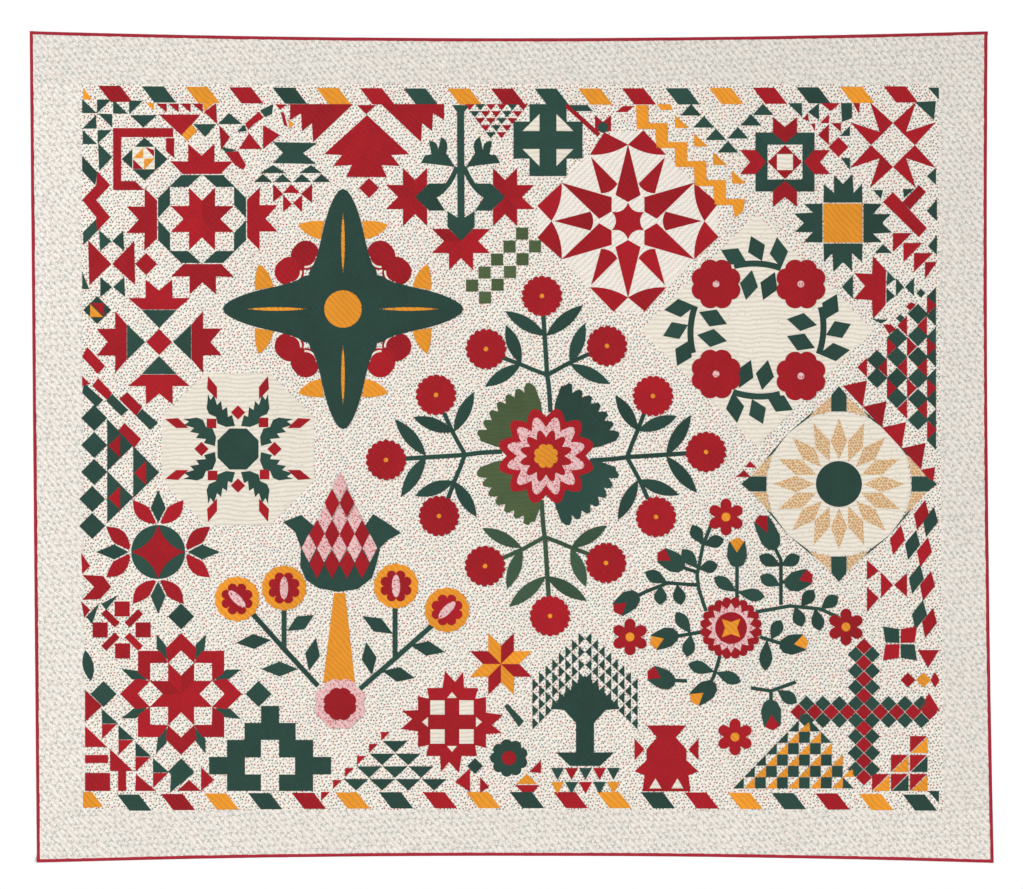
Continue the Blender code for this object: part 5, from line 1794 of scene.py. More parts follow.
@dataclass
class LowerLeft(Block):
    """The lower left corner: red chevrons, the square cross, stairs of half squares."""

    def draft(self, cloth: Cloth) -> None:
        """Adds the corner's patches, drafted from the quilt's middle."""
        middle = (-38.9, -18.3)
        arms = around(box(0.7, -0.35, 2.6, 0.35), 4, 45.0)
        squares = [square((0.0, 2.1), 0.75), square((0.05, -2.1), 0.75), square((-2.2, 0.0), 0.75),
                   square((2.1, 0.0), 0.75)]
        self.sew(cloth, Cottons.RED, placed(middle, arms + squares))
        self.sew(cloth, Cottons.RED, [
            [(-43.0, -10.6), (-42.1, -11.9), (-42.9, -12.7)],
            [(-42.9, -12.8), (-40.8, -12.9), (-40.0, -14.0), (-41.1, -15.2), (-42.9, -15.3),
             (-41.7, -14.0)],
            [(-43.0, -15.4), (-42.1, -16.3), (-42.7, -17.1)],
            [(-42.6, -24.3), (-40.9, -25.9), (-42.6, -27.5)],
            [(-42.6, -27.9), (-40.4, -30.0), (-42.6, -30.0)],
            [(-37.5, -32.7), (-35.5, -34.4), (-37.6, -34.4)],
            [(-31.0, -32.0), (-29.7, -33.3), (-31.0, -34.4)],
            [(-32.2, -33.3), (-31.0, -34.4), (-33.4, -34.4)],
            box(-42.6, -31.6, -40.3, -30.8), box(-39.3, -34.4, -38.5, -32.4),
            box(-42.6, -34.4, -40.1, -32.6), [(-40.1, -30.2), (-37.8, -32.4), (-40.1, -32.4)],
        ])
        stairs = [(-40.9, -26.2), (-39.25, -27.8), (-37.55, -29.5), (-35.8, -31.1)]
        self.sew(cloth, Cottons.GREEN, [[(x, z), (x + 1.6, z - 1.45), (x, z - 1.45)]
                                        for x, z in stairs])
        self.sew(cloth, Cottons.RED, [[(x, z - 1.5), (x + 1.5, z - 1.5), (x, z - 3.0)]
                                      for x, z in stairs])
        self.sew(cloth, Cottons.GREEN, [
            [(-39.3, -14.8), (-40.5, -16.3), (-41.0, -15.7)],
            [(-41.2, -15.6), (-41.9, -17.7), (-42.5, -17.0)],
            leaf((-42.6, -20.3), (-42.0, -23.4), 1.1),
            [(-32.9, -31.2), (-31.7, -32.6), (-33.0, -33.6), (-34.1, -34.6), (-34.0, -32.6)],
        ])


@dataclass
class SteppedCross(Block):
    """The green stepped cross with a white plus in its middle."""

    def draft(self, cloth: Cloth) -> None:
        """Adds the steps and the plus."""
        side = [(-0.9, 4.25), (0.9, 4.25), (0.9, 2.55), (2.55, 2.55), (2.55, 0.85), (4.3, 0.85),
                (4.3, -0.85), (6.1, -0.85), (6.1, -2.6), (4.3, -2.6), (4.3, -4.25)]
        cross = side + [(-x, z) for x, z in reversed(side[2:])]
        self.sew(cloth, Cottons.GREEN, [cross])
        plus = [(-0.9, 0.85), (0.9, 0.85), (0.9, -0.9), (2.5, -0.9), (2.5, -2.6), (0.9, -2.6),
                (0.9, -4.2), (-0.9, -4.2), (-0.9, -2.6), (-2.5, -2.6), (-2.5, -0.9), (-0.9, -0.9)]
        self.sew(cloth, Cottons.DOTTED, [plus], 2.1)


@dataclass
class Pyramid(Block):
    """Four rows of hanging green triangles with small red ones along the left slope."""

    def draft(self, cloth: Cloth) -> None:
        """Adds the rows."""
        rows = []
        for row in range(4):
            for i in range(row + 1):
                x = -1.3 * row + 2.6 * i
                z = 1.3 - 1.27 * row
                rows.append([(x - 1.25, z), (x + 1.25, z), (x, z - 1.15)])
        self.sew(cloth, Cottons.GREEN, rows)
        self.sew(cloth, Cottons.RED, [
            [(-1.4 - 1.2 * i, 2.2 - 1.2 * i), (-0.5 - 1.2 * i, 2.2 - 1.2 * i),
             (-1.4 - 1.2 * i, 1.3 - 1.2 * i)] for i in range(6)
        ])


@dataclass
class StarCross(Block):
    """The red star cross with four white squares."""

    def draft(self, cloth: Cloth) -> None:
        """Adds the star ends, the plus and the squares."""
        end = [(-2.3, 2.3), (-2.5, 3.4), (-0.95, 3.4), (-0.7, 5.1), (0.3, 4.0), (1.1, 5.0),
               (1.2, 3.4), (2.6, 3.4), (2.3, 2.3)]
        self.sew(cloth, Cottons.RED, around(end) + [square((0.0, 0.0), 2.35)])
        self.sew(cloth, Cottons.CREAM, around(square((1.45, 1.45), 0.72)), 2.1)
        self.sew(cloth, Cottons.CREAM, around([(-0.5, 2.4), (0.5, 2.4), (0.0, 3.0)]), 2.1)


@dataclass
class EightStar(Block):
    """The star of alternate orange and red rhombi."""

    def draft(self, cloth: Cloth) -> None:
        """Adds the eight rhombi."""
        rhombi = lemoyne(3.35)
        self.sew(cloth, Cottons.RED, rhombi[1::2])
        self.sew(cloth, Cottons.ORANGE, rhombi[0::2])


@dataclass
class TulipPot(Block):
    """The tulip of flame diamonds in its green bowl, on a cone with four side flowers."""

    def draft(self, cloth: Cloth) -> None:
        """Adds stems, leaves, bowl, flames and flowers, drafted about the cone's line."""
        self.sew(cloth, Cottons.ORANGE, [[(-0.6, 0.0), (0.5, 0.0), (1.5, -9.0), (-1.7, -9.0)]], 1.2)
        stems = [ribbon([(-2.2, -9.3), (-5.6, -5.6), (-8.9, -1.9)], 0.5),
                 ribbon([(-5.6, -1.5), (-5.6, -5.7)], 0.5),
                 ribbon([(2.0, -9.6), (5.9, -6.2), (9.6, -2.9)], 0.5),
                 ribbon([(5.5, -1.0), (5.5, -6.4)], 0.5)]
        tips = [((-10.4, -5.0), (-6.9, -4.7)), ((-7.9, -7.6), (-4.2, -7.6)),
                ((-5.3, -3.8), (-2.6, -2.2)), ((-2.4, -4.5), (-3.1, -7.8)),
                ((2.2, -2.3), (5.3, -4.1)), ((2.6, -4.9), (3.2, -8.2)),
                ((4.2, -7.8), (7.5, -8.5)), ((7.0, -5.2), (10.5, -5.9))]
        self.sew(cloth, Cottons.GREEN, stems, 1.2)
        self.sew(cloth, Cottons.GREEN, [rhomb(a, b, 1.5) for a, b in tips], 1.6)
        bowl = [(-5.7, 7.1), (-3.9, 7.8), (-2.7, 6.8), (-2.6, 5.4), (-1.3, 4.0), (-0.1, 3.4),
                (1.1, 4.0), (2.3, 5.4), (2.5, 6.7), (3.3, 7.9), (4.6, 7.1), (6.1, 6.0),
                (4.8, 5.3), (4.0, 4.5), (3.7, 3.1), (3.2, 1.5), (1.8, 0.4), (-0.2, 0.1),
                (-2.2, 0.5), (-3.4, 1.3), (-4.0, 2.7), (-3.9, 4.5), (-4.5, 6.1)]
        self.sew(cloth, Cottons.GREEN, [bowl], 1.4, 0.0004)
        pinks = [(0.0, 10.7), (-1.5, 7.4), (0.0, 7.4), (1.5, 7.4)]
        pinks += [(-3.1 + 1.52 * i, 4.5) for i in range(5)]
        reds = [(-0.8, 9.0), (0.7, 9.0)] + [(-2.3 + 1.5 * i, 5.9) for i in range(4)]
        reds += [(-2.3 + 1.5 * i, 2.9) for i in range(4)]
        self.sew(cloth, Cottons.PINK, [diamond(p, 0.74, 1.45) for p in pinks], 2.3)
        self.sew(cloth, Cottons.RED, [diamond(p, 0.74, 1.45) for p in reds], 2.9)
        self.sew(cloth, Cottons.PINK, [lobed((0.0, -11.1), 2.6, 8, 0.12)], 2.0, 0.0004)
        self.sew(cloth, Cottons.RED, [lobed((0.0, -11.1), 1.7, 8, 0.1)], 2.8, 0.0003)
        for spot, turn in (((-10.3, -0.6), 135.0), ((-5.6, 0.5), 90.0), ((5.6, 0.7), 90.0),
                           ((10.7, -1.7), 45.0)):
            around_rose = lobed((0.0, 0.0), 2.25, 14, 0.05)
            self.sew(cloth, Cottons.ORANGE, placed(spot, [around_rose]), 2.0, 0.0004)
            self.sew(cloth, Cottons.RED, placed(spot, [lobed((0.0, 0.0), 1.65, 8, 0.2)]), 2.8)
            seed = turned([(1.15 * x, 0.42 * z) for x, z in disc((0.0, 0.0), 1.0, 12)], turn)
            self.sew(cloth, Cottons.PINK, placed(spot, [seed]), 3.5)


@dataclass
class RoseVine(Block):
    """The scalloped rose with its vines, leaves, tulip buds and small flowers."""

    def stems(self) -> list[Outline]:
        """The vines, from the rose's middle."""
        runs = [
            [(-2.5, 1.7), (-3.2, 3.8), (-3.4, 5.3), (-2.8, 8.3), (-1.9, 10.5)],
            [(-3.4, 4.3), (-6.3, 4.5), (-8.6, 3.6), (-10.1, 2.8)],
            [(-5.6, 6.5), (-4.4, 5.9), (-3.4, 5.6)], [(0.6, 2.8), (0.6, 6.3)],
            [(5.0, 2.3), (5.0, 6.8), (4.0, 8.8)], [(5.0, 4.6), (6.4, 4.6)],
            [(2.5, 1.6), (5.9, 2.2), (8.9, 1.9), (10.7, 1.1)], [(2.9, -0.9), (5.2, -1.6)],
            [(-1.1, -2.8), (-1.7, -4.8), (-2.4, -6.2)], [(-2.9, -0.4), (-5.3, -0.8), (-6.3, -0.9)],
            [(-6.6, -5.2), (-4.4, -5.3)], [(2.0, -6.0), (4.0, -6.3), (6.5, -5.4)],
            [(4.0, -6.3), (4.0, -8.2)],
        ]
        return [ribbon(run, 0.36) for run in runs]

    def leaves(self) -> list[Outline]:
        """The leaves, as base and tip."""
        pairs = [
            ((-2.8, 8.3), (-3.9, 10.3)), ((-2.8, 8.3), (-0.7, 8.9)), ((-3.3, 5.9), (-4.9, 7.9)),
            ((-3.3, 5.9), (-1.3, 6.3)), ((-6.3, 4.5), (-8.6, 5.6)), ((-5.4, 4.4), (-5.0, 2.3)),
            ((-7.0, 4.3), (-7.1, 2.3)), ((0.6, 3.6), (-1.7, 5.1)), ((0.6, 3.6), (3.4, 3.1)),
            ((5.0, 6.2), (2.8, 7.2)), ((5.0, 6.2), (6.9, 7.2)), ((5.0, 4.2), (2.9, 5.2)),
            ((7.0, 2.1), (8.3, 3.8)), ((9.0, 1.9), (10.7, 3.2)), ((6.4, 2.2), (7.1, 0.1)),
            ((8.4, 2.0), (8.9, -0.3)), ((4.0, -1.2), (5.0, 0.8)), ((3.6, -1.1), (3.4, -4.3)),
            ((-1.6, -4.4), (-4.3, -3.6)), ((-1.6, -4.4), (1.0, -5.4)), ((-4.0, -0.6), (-5.5, 1.6)),
            ((-4.0, -0.6), (-4.4, -2.9)), ((4.6, -6.2), (6.6, -7.5)),
        ]
        return [leaf(base, tip, 1.3, 0.6) for base, tip in pairs]

    def bud(self, place: Point, tip: Point) -> tuple[Outline, Outline]:
        """A green cup and the coloured tip in it."""
        long = math.dist(place, tip)
        turn = math.degrees(math.atan2(tip[1] - place[1], tip[0] - place[0]))
        cup = [(-1.1, 0.0), (-0.8, 0.65), (0.0, 1.0), (long * 0.7, 0.95), (long + 0.5, 0.8),
               (long * 0.6, 0.0), (long + 0.5, -0.8), (long * 0.7, -0.95), (0.0, -1.0),
               (-0.8, -0.65)]
        heart = [(long * 0.4, 0.0), (long + 0.45, 0.72), (long + 0.85, 0.0), (long + 0.45, -0.72)]
        return (moved(turned(cup, turn), place), moved(turned(heart, turn), place))

    def draft(self, cloth: Cloth) -> None:
        """Adds the vines, the rose, the buds and the flowers."""
        self.sew(cloth, Cottons.GREEN, self.stems(), 1.2)
        self.sew(cloth, Cottons.GREEN, self.leaves(), 1.6)
        buds = [((-10.1, 2.8), (-11.0, 2.1), Cottons.RED), ((-5.6, 6.5), (-6.6, 7.1), Cottons.RED),
                ((0.6, 7.1), (0.6, 8.2), Cottons.ORANGE), ((4.0, 8.8), (3.2, 10.5), Cottons.RED),
                ((6.4, 4.6), (7.4, 5.0), Cottons.RED), ((5.9, -1.7), (6.9, -1.5), Cottons.ORANGE),
                ((-2.4, -6.2), (-3.3, -6.9), Cottons.ORANGE),
                ((-6.3, -0.9), (-7.3, -1.3), Cottons.ORANGE),
                ((-6.6, -5.2), (-7.6, -4.7), Cottons.RED), ((4.0, -8.2), (4.1, -9.4), Cottons.RED)]
        for place, tip, fabric in buds:
            cup, heart = self.bud(place, tip)
            self.sew(cloth, Cottons.GREEN, [cup], 1.8)
            self.sew(cloth, fabric, [heart], 2.5)
        self.sew(cloth, Cottons.RED, [lobed((0.0, 0.0), 3.1, 20, 0.1)], 2.2, 0.0004)
        self.sew(cloth, Cottons.PINK, [star((0.0, 0.0), 2.5, 1.95, 16)], 3.0)
        self.sew(cloth, Cottons.RED, [disc((0.0, 0.0), 1.6, 24)], 3.6)
        self.sew(cloth, Cottons.ORANGE, [star((0.0, 0.0), 1.3, 0.6, 4, 45.0)], 4.2)
        for spot in ((-0.5, 11.1), (11.5, 0.1), (-10.1, -0.9), (0.4, -10.9)):
            self.sew(cloth, Cottons.RED, [lobed(spot, 1.85, 6, 0.42)], 2.0, 0.0003)
            self.sew(cloth, Cottons.ORANGE, [disc(spot, 0.45, 12)], 2.9)


@dataclass
class TreeOfLife(Block):
    """The pieced tree: columns of small triangles, a solid crown and a flared trunk."""

    def draft(self, cloth: Cloth) -> None:
        """Adds the columns, the crown, the trunk and the pieced foot."""
        for side in (-1.0, 1.0):
            for column in range(8):
                x, top = side * (0.64 + 0.66 * column), 5.9 - 0.65 * column
                for i in range(4):
                    z = top - 1.3 * i
                    tooth = [(x, z), (x, z - 1.2), (x - side * 0.6, z - 0.6)]
                    self.sew(cloth, Cottons.GREEN, [tooth])
        half = [(0.0, 1.6), (0.74, 1.2), (0.74, 0.9), (1.4, 0.55), (1.4, 0.2), (2.1, -0.15),
                (2.1, -0.5), (2.8, -0.85), (2.8, -1.15), (3.4, -1.5), (3.4, -1.7), (2.1, -1.8),
                (0.9, -3.1), (0.9, -6.05), (2.9, -6.05), (1.5, -7.4)]
        self.sew(cloth, Cottons.GREEN, [half + [(-x, z) for x, z in reversed(half[1:])]])
        for row in range(2):
            for i in range(5):
                x, z = -3.4 + 1.4 * i, -7.6 - 1.4 * row
                near = Cottons.RED if (row + i) % 2 else Cottons.GREEN
                if row == 1 and i in (0, 4):
                    near = Cottons.ORANGE
                self.sew(cloth, near, [[(x, z), (x + 1.3, z), (x + 0.65, z - 1.2)]])


@dataclass
class CheckerTriangle(Block):
    """The large triangle of green squares and orange half squares."""

    cell: float = 1.14

    def draft(self, cloth: Cloth) -> None:
        """Adds the rows from the tip down."""
        for row in range(7):
            z = 3.7 - self.cell * row
            for i in range(-row, round(row * 0.75) + 1):
                x = 0.75 + 1.1 * i
                place = box(x - 0.53, z - self.cell + 0.03, x + 0.53, z)
                if (i + row) % 2 == 0:
                    edge = i in (-row, round(row * 0.75))
                    tip = (x + 0.53, z) if i < 0 else (x - 0.53, z)
                    self.sew(cloth, Cottons.GREEN, [place[:2] + [tip]] if edge else [place])
                else:
                    self.sew(cloth, Cottons.ORANGE, [place[:3]])


@dataclass
class DiamondChecker(Block):
    def draft(self, cloth: Cloth) -> None:
        """Adds the green diamonds and the red half ones between them."""
        green = [(36.6, z) for z in (8.7, 6.9)]
        green += [(38.6, z) for z in (10.9, 9.0, 6.9, 4.9)]
        green += [(40.7, z) for z in (13.3, 11.1, 9.0, 6.9, 4.8, 2.7)]
        self.sew(cloth, Cottons.GREEN, [diamond(p, 1.02) for p in green])
        edge = [(42.5, z) for z in (15.0, 13.1, 11.0, 9.0, 6.9, 4.8, 2.8, 0.7)]
        self.sew(cloth, Cottons.GREEN, [[(x, z + 1.0), (x, z - 1.0), (x - 0.95, z)]
                                        for x, z in edge])
        halves = ((41.6, range(7)), (39.6, range(1, 6)), (37.6, range(2, 5)), (35.6, range(3, 4)))
        for x, rows in halves:
            for row in rows:
                z, reach = 14.2 - 2.08 * row, 0.98 if row % 2 == 0 else -0.98
                self.sew(cloth, Cottons.RED, [[(x, z + 0.98), (x, z - 0.98), (x + reach, z)]])
        self.sew(cloth, Cottons.RED, [[(39.5, 14.0), (40.0, 14.5), (40.5, 14.25), (39.95, 13.65)],
                                      [(37.2, 12.25), (38.0, 12.25), (38.5, 11.8), (37.8, 11.3)]])
        self.sew(cloth, Cottons.GREEN, [[(38.5, 12.85), (38.9, 13.3), (39.35, 12.95),
                                         (39.0, 12.45)],
                                        [(36.1, 12.8), (37.7, 12.75), (37.0, 12.35)]])


@dataclass
class OnPointCross(Block):
    """The on-point cross of green cells along red lines, and the corner's half squares."""

    def draft(self, cloth: Cloth) -> None:
        """Adds the lines, the cells and the half squares."""
        red, green = [diamond((0.0, 0.0), 0.8)], []
        for turn in range(4):
            for i in range(4):
                red.append(turned(diamond((1.64 * (i + 1), 0.0), 0.8), 90.0 * turn))
                for side in (-0.84, 0.84):
                    reach = 1.64 * i + 0.82
                    if i or turn in (0, 2):
                        green.append(turned(diamond((reach, side), 0.78), 90.0 * turn))
        self.sew(cloth, Cottons.RED, red)
        self.sew(cloth, Cottons.GREEN, green)
        for i in range(4):
            for k in range(4 - i):
                x, z = 0.8 + 1.9 * i + 1.9 * k, -6.2 + 1.9 * k - 0.0
                if x > 5.6:
                    continue
                self.sew(cloth, Cottons.RED, [[(x, z), (x + 1.7, z), (x, z - 1.7)]])
                self.sew(cloth, Cottons.ORANGE if i % 2 == 0 else Cottons.GREEN,
                         [[(x + 1.75, z - 0.1), (x + 1.75, z - 1.7), (x + 0.1, z - 1.7)]])


@dataclass
class Basket(Block):
    """The red hourglass basket."""

    def draft(self, cloth: Cloth) -> None:
        """Adds its body and the side triangles."""
        half = [(0.0, 3.3), (2.0, 3.3), (0.95, 2.1), (2.0, 0.9), (2.0, -0.2), (3.2, -1.3),
                (2.2, -1.7), (2.4, -3.3)]
        body = half + [(-x, z) for x, z in reversed(half[1:])]
        side = [(3.2, 2.0), (3.2, -0.2), (2.2, 0.9)]
        self.sew(cloth, Cottons.RED, [body, side, mirrored(side)])
        slip = [(0.5, -3.0), (1.7, -3.0), (1.1, -2.0)]
        self.sew(cloth, Cottons.CREAM, [slip, mirrored(slip)], 2.1)


@dataclass
class Harlequin(Block):
    """The right edge: slanted rhombi, bow triangles, a quartered square and an edge star."""

    def draft(self, cloth: Cloth) -> None:
        """Adds the patches, drafted from the quilt's middle."""
        rhombus = [(0.0, 0.0), (0.4, -1.5), (-0.8, -3.0), (-1.1, -1.4)]
        self.sew(cloth, Cottons.RED, [moved(rhombus, p) for p in (
            (41.4, -5.3), (39.0, -7.8), (41.7, -9.0), (42.0, -12.4), (42.2, -16.1))])
        self.sew(cloth, Cottons.GREEN, [moved(rhombus, p) for p in (
            (42.3, -6.0), (40.5, -8.3), (40.9, -11.7), (41.2, -15.3))])
        self.sew(cloth, Cottons.RED, [
            [(35.6, -11.3), (36.8, -12.4), (35.6, -13.3)],
            [(35.6, -14.0), (36.8, -15.1), (35.6, -16.5)],
            [(37.0, -12.5), (38.2, -13.8), (37.0, -15.1)],
            [(39.6, -12.6), (39.6, -15.0), (38.3, -13.8)],
            [(40.7, -20.3), (42.8, -20.3), (41.7, -22.1)],
            [(40.7, -26.4), (42.9, -26.4), (41.8, -24.6)],
            diamond((39.7, -23.3), 0.75), diamond((42.4, -23.3), 0.45, 0.8),
        ])
        quarter = [(0.05, 0.05), (1.45, 0.1), (1.7, 1.7), (0.1, 1.45)]
        middle = (38.9, -19.65)
        turns = around(quarter)
        self.sew(cloth, Cottons.RED, placed(middle, turns[0::2]))
        self.sew(cloth, Cottons.GREEN, placed(middle, turns[1::2]))
        self.sew(cloth, Cottons.ORANGE, [diamond((41.25, -23.3), 0.75)])


def loose_blocks() -> list[Block]:
    """Blocks that are only a few patches each."""
    path = [square((-3.9 + 1.25 * k, 16.15 + 1.3 * k), 0.6) for k in range(5)]
    path += [square((-2.6 + 1.25 * k, 14.95 + 1.28 * k), 0.6) for k in range(5)]
    goose = [(0.0, 0.0), (1.9, 0.0), (0.0, -1.9)]
    crosses = [
        [(38.2, 25.5), (41.6, 21.9), (40.8, 21.0), (37.2, 24.5)],
        [(40.8, 26.2), (41.5, 25.5), (39.9, 23.75), (39.15, 24.5)],
        [(36.2, 19.1), (37.5, 17.7), (37.45, 14.2), (36.2, 12.8), (36.1, 14.7), (34.3, 14.8),
         (35.4, 16.1), (34.3, 17.4), (36.1, 17.3)],
        [(41.4, 18.5), (42.6, 18.5), (41.4, 16.8)],
    ]
    crosses += [moved(goose, (38.2 + 1.05 * i, 21.4 - 1.0 * i)) for i in range(3)]
    edges = [
        [(39.2, 25.8), (40.3, 25.8), (39.3, 24.9)], [(36.2, 25.7), (37.2, 25.7), (37.0, 24.8)],
        [(37.2, 20.3), (38.1, 19.4), (36.4, 19.4)], [(37.65, 17.6), (38.4, 16.8), (37.55, 16.1)],
        [(37.55, 15.9), (38.4, 15.1), (37.55, 14.4)], [(33.1, 16.0), (34.2, 17.2), (34.2, 14.8)],
        [(38.5, 16.9), (39.3, 16.0), (38.5, 15.1)], [(40.3, 16.9), (39.4, 16.0), (40.3, 15.1)],
        diamond((41.0, 15.4), 0.45), [(42.6, 24.8), (41.6, 23.6), (42.6, 22.6)],
        [(42.6, 21.2), (41.7, 20.1), (42.6, 19.2)],
    ]
    filler_red = [
        [(0.4, -33.8), (2.8, -33.8), (2.3, -34.5), (1.1, -34.5)],
        [(3.0, -31.3), (3.0, -32.6), (1.8, -32.5)], [(-5.6, -33.5), (-4.1, -32.1), (-4.1, -34.5)],
        [(-3.1, -33.0), (-2.2, -34.0), (-3.1, -34.6)], disc((-0.2, -31.1), 0.72, 14),
    ]
    filler_green = [
        [(-0.7, -25.9), (-0.3, -25.7), (1.3, -27.4), (0.8, -28.0)],
        lobed((-0.2, -31.1), 1.9, 9, 0.16), diamond((-3.6, -31.9), 0.8),
    ]
    return [
        Loose("path_cloth", ("checker_path",), pieces=[(Cottons.OLIVE, path)]),
        Loose("crosses_cloth", ("right_edge_crosses",),
              pieces=[(Cottons.GREEN, edges), (Cottons.RED, crosses)]),
        Filler("filler_cloth", ("filler_flower_patch",), pieces=[
            (Cottons.ORANGE, [[(1.6, -32.7), (2.6, -33.7), (0.5, -33.7)]]),
            (Cottons.RED, filler_red), (Cottons.GREEN, filler_green)]),
    ]


@dataclass
class Filler(Loose):
    """The scalloped flower and slips between the bottom blocks."""

    def draft(self, cloth: Cloth) -> None:
        """Adds the slips, then the flower's eye over it."""
        for fabric, outlines in self.pieces:
            for outline in outlines:
                self.sew(cloth, fabric, [outline], 2.2 if len(outline) == 14 else TOP)


@dataclass
class Fragments(Kaleidoscope):
    """The kaleidoscope with the broken slips at its left."""

    def draft(self, cloth: Cloth) -> None:
        """Adds the slips, drafted from the quilt's middle, and then the kites."""
        green = [
            [(27.7, 34.4), (29.1, 34.4), (29.1, 33.0)], [(30.8, 34.4), (30.8, 32.7), (29.7, 33.5)],
            [(33.0, 34.4), (34.1, 34.4), (34.1, 32.9), (33.1, 32.5)],
            [(33.9, 32.1), (33.9, 31.1), (32.9, 31.1)], [(33.0, 28.9), (33.9, 28.9), (33.9, 27.7)],
        ]
        red = [
            [(30.95, 34.4), (32.9, 34.4), (32.0, 33.6)], [(34.2, 34.4), (34.9, 34.4), (34.8, 33.3)],
            [(31.8, 33.3), (31.8, 32.4), (30.9, 32.4)], [(29.2, 32.8), (29.7, 33.4), (29.8, 32.6)],
            [(32.0, 32.4), (33.0, 32.4), (33.0, 31.5)], [(31.8, 32.3), (31.8, 30.2), (30.7, 31.2)],
            [(30.0, 32.3), (30.4, 32.4), (30.4, 31.6)], diamond((32.75, 30.0), 1.0),
        ]
        cloth.patches(Cottons.GREEN, green, TOP)
        cloth.patches(Cottons.RED, red, TOP)
        super().draft(cloth)


@dataclass
class EdgedSunflower(Sunflower):
    """The sunflower plate with the red triangles along its upper right side."""

    def draft(self, cloth: Cloth) -> None:
        """Adds the triangles and then the plate."""
        tooth = [(0.0, 0.0), (2.4, 0.55), (1.95, -2.1)]
        self.sew(cloth, Cottons.RED, [moved(tooth, (0.4 + 1.95 * i, 9.8 - 2.08 * i))
                                      for i in range(4)])
        self.sew(cloth, Cottons.RED, [
            [(8.2, 1.4), (9.6, 1.7), (9.4, -0.1)], [(-8.9, 2.3), (-8.2, 1.6), (-9.4, 1.7)],
            [(-9.5, 1.4), (-8.8, 0.7), (-10.3, 0.7)],
        ])
        super().draft(cloth)


def all_blocks() -> list[bpy.types.Object]:
    """Builds every block, row by row."""
    wide_star = octagon((0.0, 0.0), 7.6, 3.2)
    blocks: list[Block] = [
        CornerSampler("corner_cloth", ("corner_sampler",)),
        Wheel("upper_wheel_cloth", ("wheel_block_upper",), (-30.9, 22.8), Cottons.DOTTED,
              octagon((0.0, 0.0), 7.6, 1.3)),
        FourFlower("four_flower_cloth", ("four_flower_block",), (-35.2, 10.5)),
        LeftStrips("left_strips_cloth", ("left_strips",)),
        Melon("melon_cloth", ("melon_flower",), (-35.3, -10.5)),
        FeatheredStar("feathered_cloth", ("feathered_star",), (-27.3, -0.2), Cottons.CREAM,
                      wide_star),
        LowerLeft("lower_left_cloth", ("lower_left_corner",)),
        Wheel("lower_wheel_cloth", ("wheel_block_lower",), (-33.0, -24.7), Cottons.DOTTED,
              octagon((0.0, 0.0), 6.1, 2.6), upper=False),
        SteppedCross("stepped_cloth", ("stepped_cross",), (-24.1, -30.15)),
        Pyramid("pyramid_cloth", ("pyramid_block",), (-11.6, -30.7)),
        OakCross("oak_cross_cloth", ("oak_cross",), (-16.8, 13.8)),
        OakPetals("oak_petals_cloth", ("oak_cross_petals",), (-16.8, 13.8)),
        OakDisc("oak_disc_cloth", ("oak_cross_disc",), (-16.8, 13.8)),
        Pine("pine_cloth", ("pine_block",), (-14.5, 30.1)),
        Lily("lily_cloth", ("lily_spray",), (-5.1, 28.3)),
        CrossCorner("cross_corner_cloth", ("cross_block",), (-0.1, 30.7)),
        Compass("compass_cloth", ("compass_block",), (11.7, 22.6), Cottons.ROSY,
                octagon((0.0, 0.0), 9.0, 1.5)),
        ZigzagGeese("zigzag_cloth", ("zigzag_and_geese",), (12.5, 34.2)),
        TulipRing("tulip_ring_cloth", ("tulip_ring_block",), (27.4, 28.5)),
        Fragments("kaleidoscope_cloth", ("kaleidoscope_block",), (38.2, 30.2)),
        SawtoothStar("sawtooth_cloth", ("sawtooth_star_block",), (33.2, 22.4)),
        CentreSpray("centre_spray_cloth", ("centre_spray",), (3.5, -0.9)),
        OakLeaves("oak_leaves_cloth", ("centre_oak_leaves",), (3.7, -0.7)),
        CentreRose("centre_rose_cloth", ("centre_rose",), (3.5, -0.9)),
        RoseRing("rose_ring_cloth", ("centre_rose_ring",), (3.5, -0.9)),
        RoseWreath("wreath_cloth", ("rose_wreath",), (24.6, 11.7), Cottons.CREAM,
                   diamond((0.0, 0.0), 11.6)),
        DiamondChecker("diamond_checker_cloth", ("diamond_checker",)),
        EdgedSunflower("sunflower_cloth", ("sunflower_plate",), (32.8, -3.7)),
        Harlequin("harlequin_cloth", ("harlequin_strip",)),
        TulipPot("tulip_pot_cloth", ("tulip_pot",), (-17.1, -14.6)),
        StarCross("star_cross_cloth", ("star_cross_block",), (-5.9, -27.5)),
        EightStar("eight_star_cloth", ("eight_point_star",), (-1.0, -21.7)),
        RoseVine("rose_vine_cloth", ("rose_vine",), (22.0, -18.1)),
        TreeOfLife("tree_cloth", ("tree_of_life",), (7.4, -24.5)),
        Basket("basket_cloth", ("basket_block",), (15.55, -31.15)),
        CheckerTriangle("checker_triangle_cloth", ("checker_triangle",), (28.6, -29.9)),
        OnPointCross("on_point_cloth", ("on_point_cross_corner",), (35.3, -26.5)),
    ]
    blocks += loose_blocks()
    made = []
    for block in blocks:
        made.append(block.build())
    return made


# The room


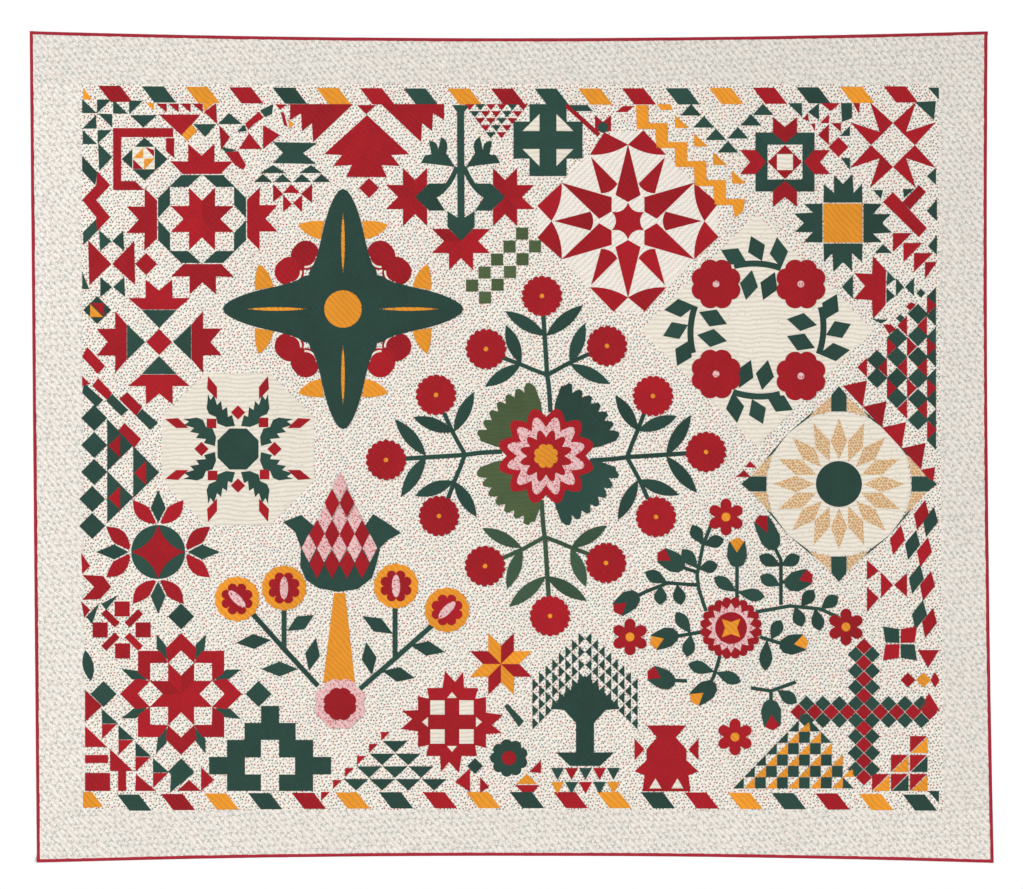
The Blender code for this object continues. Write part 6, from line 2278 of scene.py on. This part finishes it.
@dataclass(frozen=True)
class Studio:
    """A pale room with soft lamps and the camera square to the quilt.

    Args:
        distance: the camera's distance in metres.
        across: the width of the view at the quilt, in metres.
        shift: where the view's middle lies, in inches from the quilt's middle.
        surround: how strongly the white surround lights the quilt.
        floor_level: the floor's height in metres.
    """

    distance: float = 9.0
    across: float = 2.5984
    shift: Point = (0.05, 0.25)
    surround: float = 0.45
    floor_level: float = -2.62

    def floor(self) -> None:
        """The plain pale floor, below the view."""
        mesh = bpy.data.meshes.new("floor")
        low = self.floor_level
        mesh.from_pydata([(-3.0, -3.0, low), (3.0, -3.0, low), (3.0, 1.2, low),
                          (-3.0, 1.2, low)], [], [(0, 1, 2, 3)])
        mat, nodes, shader, place = new_material("pale_floor")
        nodes.feed(shader.inputs["Base Color"],
                   nodes.mix(nodes.noise(place, 3.0), (0.80, 0.80, 0.79), (0.84, 0.84, 0.83)))
        shader.inputs["Roughness"].default_value = 0.7
        mesh.materials.append(mat)
        floor = bpy.data.objects.new("floor", mesh)
        bpy.context.scene.collection.objects.link(floor)

    def lamp(self, name: str, place: tuple, size: float, power: float) -> None:
        """A soft square lamp aimed at the quilt's middle."""
        data = bpy.data.lights.new(name, "AREA")
        data.shape = "SQUARE"
        data.size = size
        data.energy = power
        lamp = bpy.data.objects.new(name, data)
        lamp.location = place
        aim = Vector((0.0, -0.03, -0.97)) - Vector(place)
        lamp.rotation_euler = aim.to_track_quat("-Z", "Y").to_euler()
        bpy.context.scene.collection.objects.link(lamp)

    def world(self) -> None:
        """An even white surround."""
        world = bpy.data.worlds.new("room")
        world.use_nodes = True
        nodes = Nodes(world.node_tree)
        back = world.node_tree.nodes["Background"]
        back.inputs["Color"].default_value = (1.0, 1.0, 1.0, 1.0)
        seen = nodes.add("ShaderNodeLightPath").outputs["Is Camera Ray"]
        nodes.feed(back.inputs["Strength"],
                   nodes.maths("MULTIPLY_ADD", seen, 1.0 - self.surround, self.surround))
        bpy.context.scene.world = world

    def camera(self) -> None:
        """The long-lens camera square to the quilt."""
        data = bpy.data.cameras.new("camera")
        data.sensor_width = 36.0
        data.lens = 36.0 * self.distance / self.across
        data.clip_end = 60.0
        camera = bpy.data.objects.new("camera", data)
        x, z = self.shift[0] * INCH, (self.shift[1] - HANG_LINE) * INCH
        camera.location = (x, -self.distance - 0.03, z)
        camera.rotation_euler = (math.pi / 2.0, 0.0, 0.0)
        bpy.context.scene.collection.objects.link(camera)
        bpy.context.scene.camera = camera

    def build(self) -> None:
        """Sets up the room."""
        self.floor()
        self.lamp("key", (-7.4, -4.9, 3.0), 1.6, 600.0)
        self.lamp("fill", (6.0, -6.4, -1.8), 2.6, 230.0)
        self.lamp("back", (2.5, 5.5, 1.4), 2.4, 170.0)
        self.world()
        self.camera()
        bpy.context.scene.view_settings.view_transform = "Standard"


def main() -> None:
    """Builds every piece in order, then the room."""
    parts: list[tuple[str, object]] = [
        ("hanger", Hanger()), ("sleeve", Sleeve()), ("sandwich", Sandwich()),
        ("bindings", Bindings()), ("ribbons", Ribbons()),
    ]
    ground = Ground()
    total = len(ground.field_lengths()) + len(ground.borders())
    for name, part in parts:
        made = part.build()
        total += len(made)
        LOG.info("%s: %d pieces", name, len(made))
    total += len(all_blocks())
    Studio().build()
    LOG.info("%d visual pieces", total)


def plain(bounds: Sequence) -> list[list[float]]:
    """Bounds as plain lists of numbers."""
    return [[float(v) for v in corner] for corner in bounds]


if __name__ == "__main__":
    main()
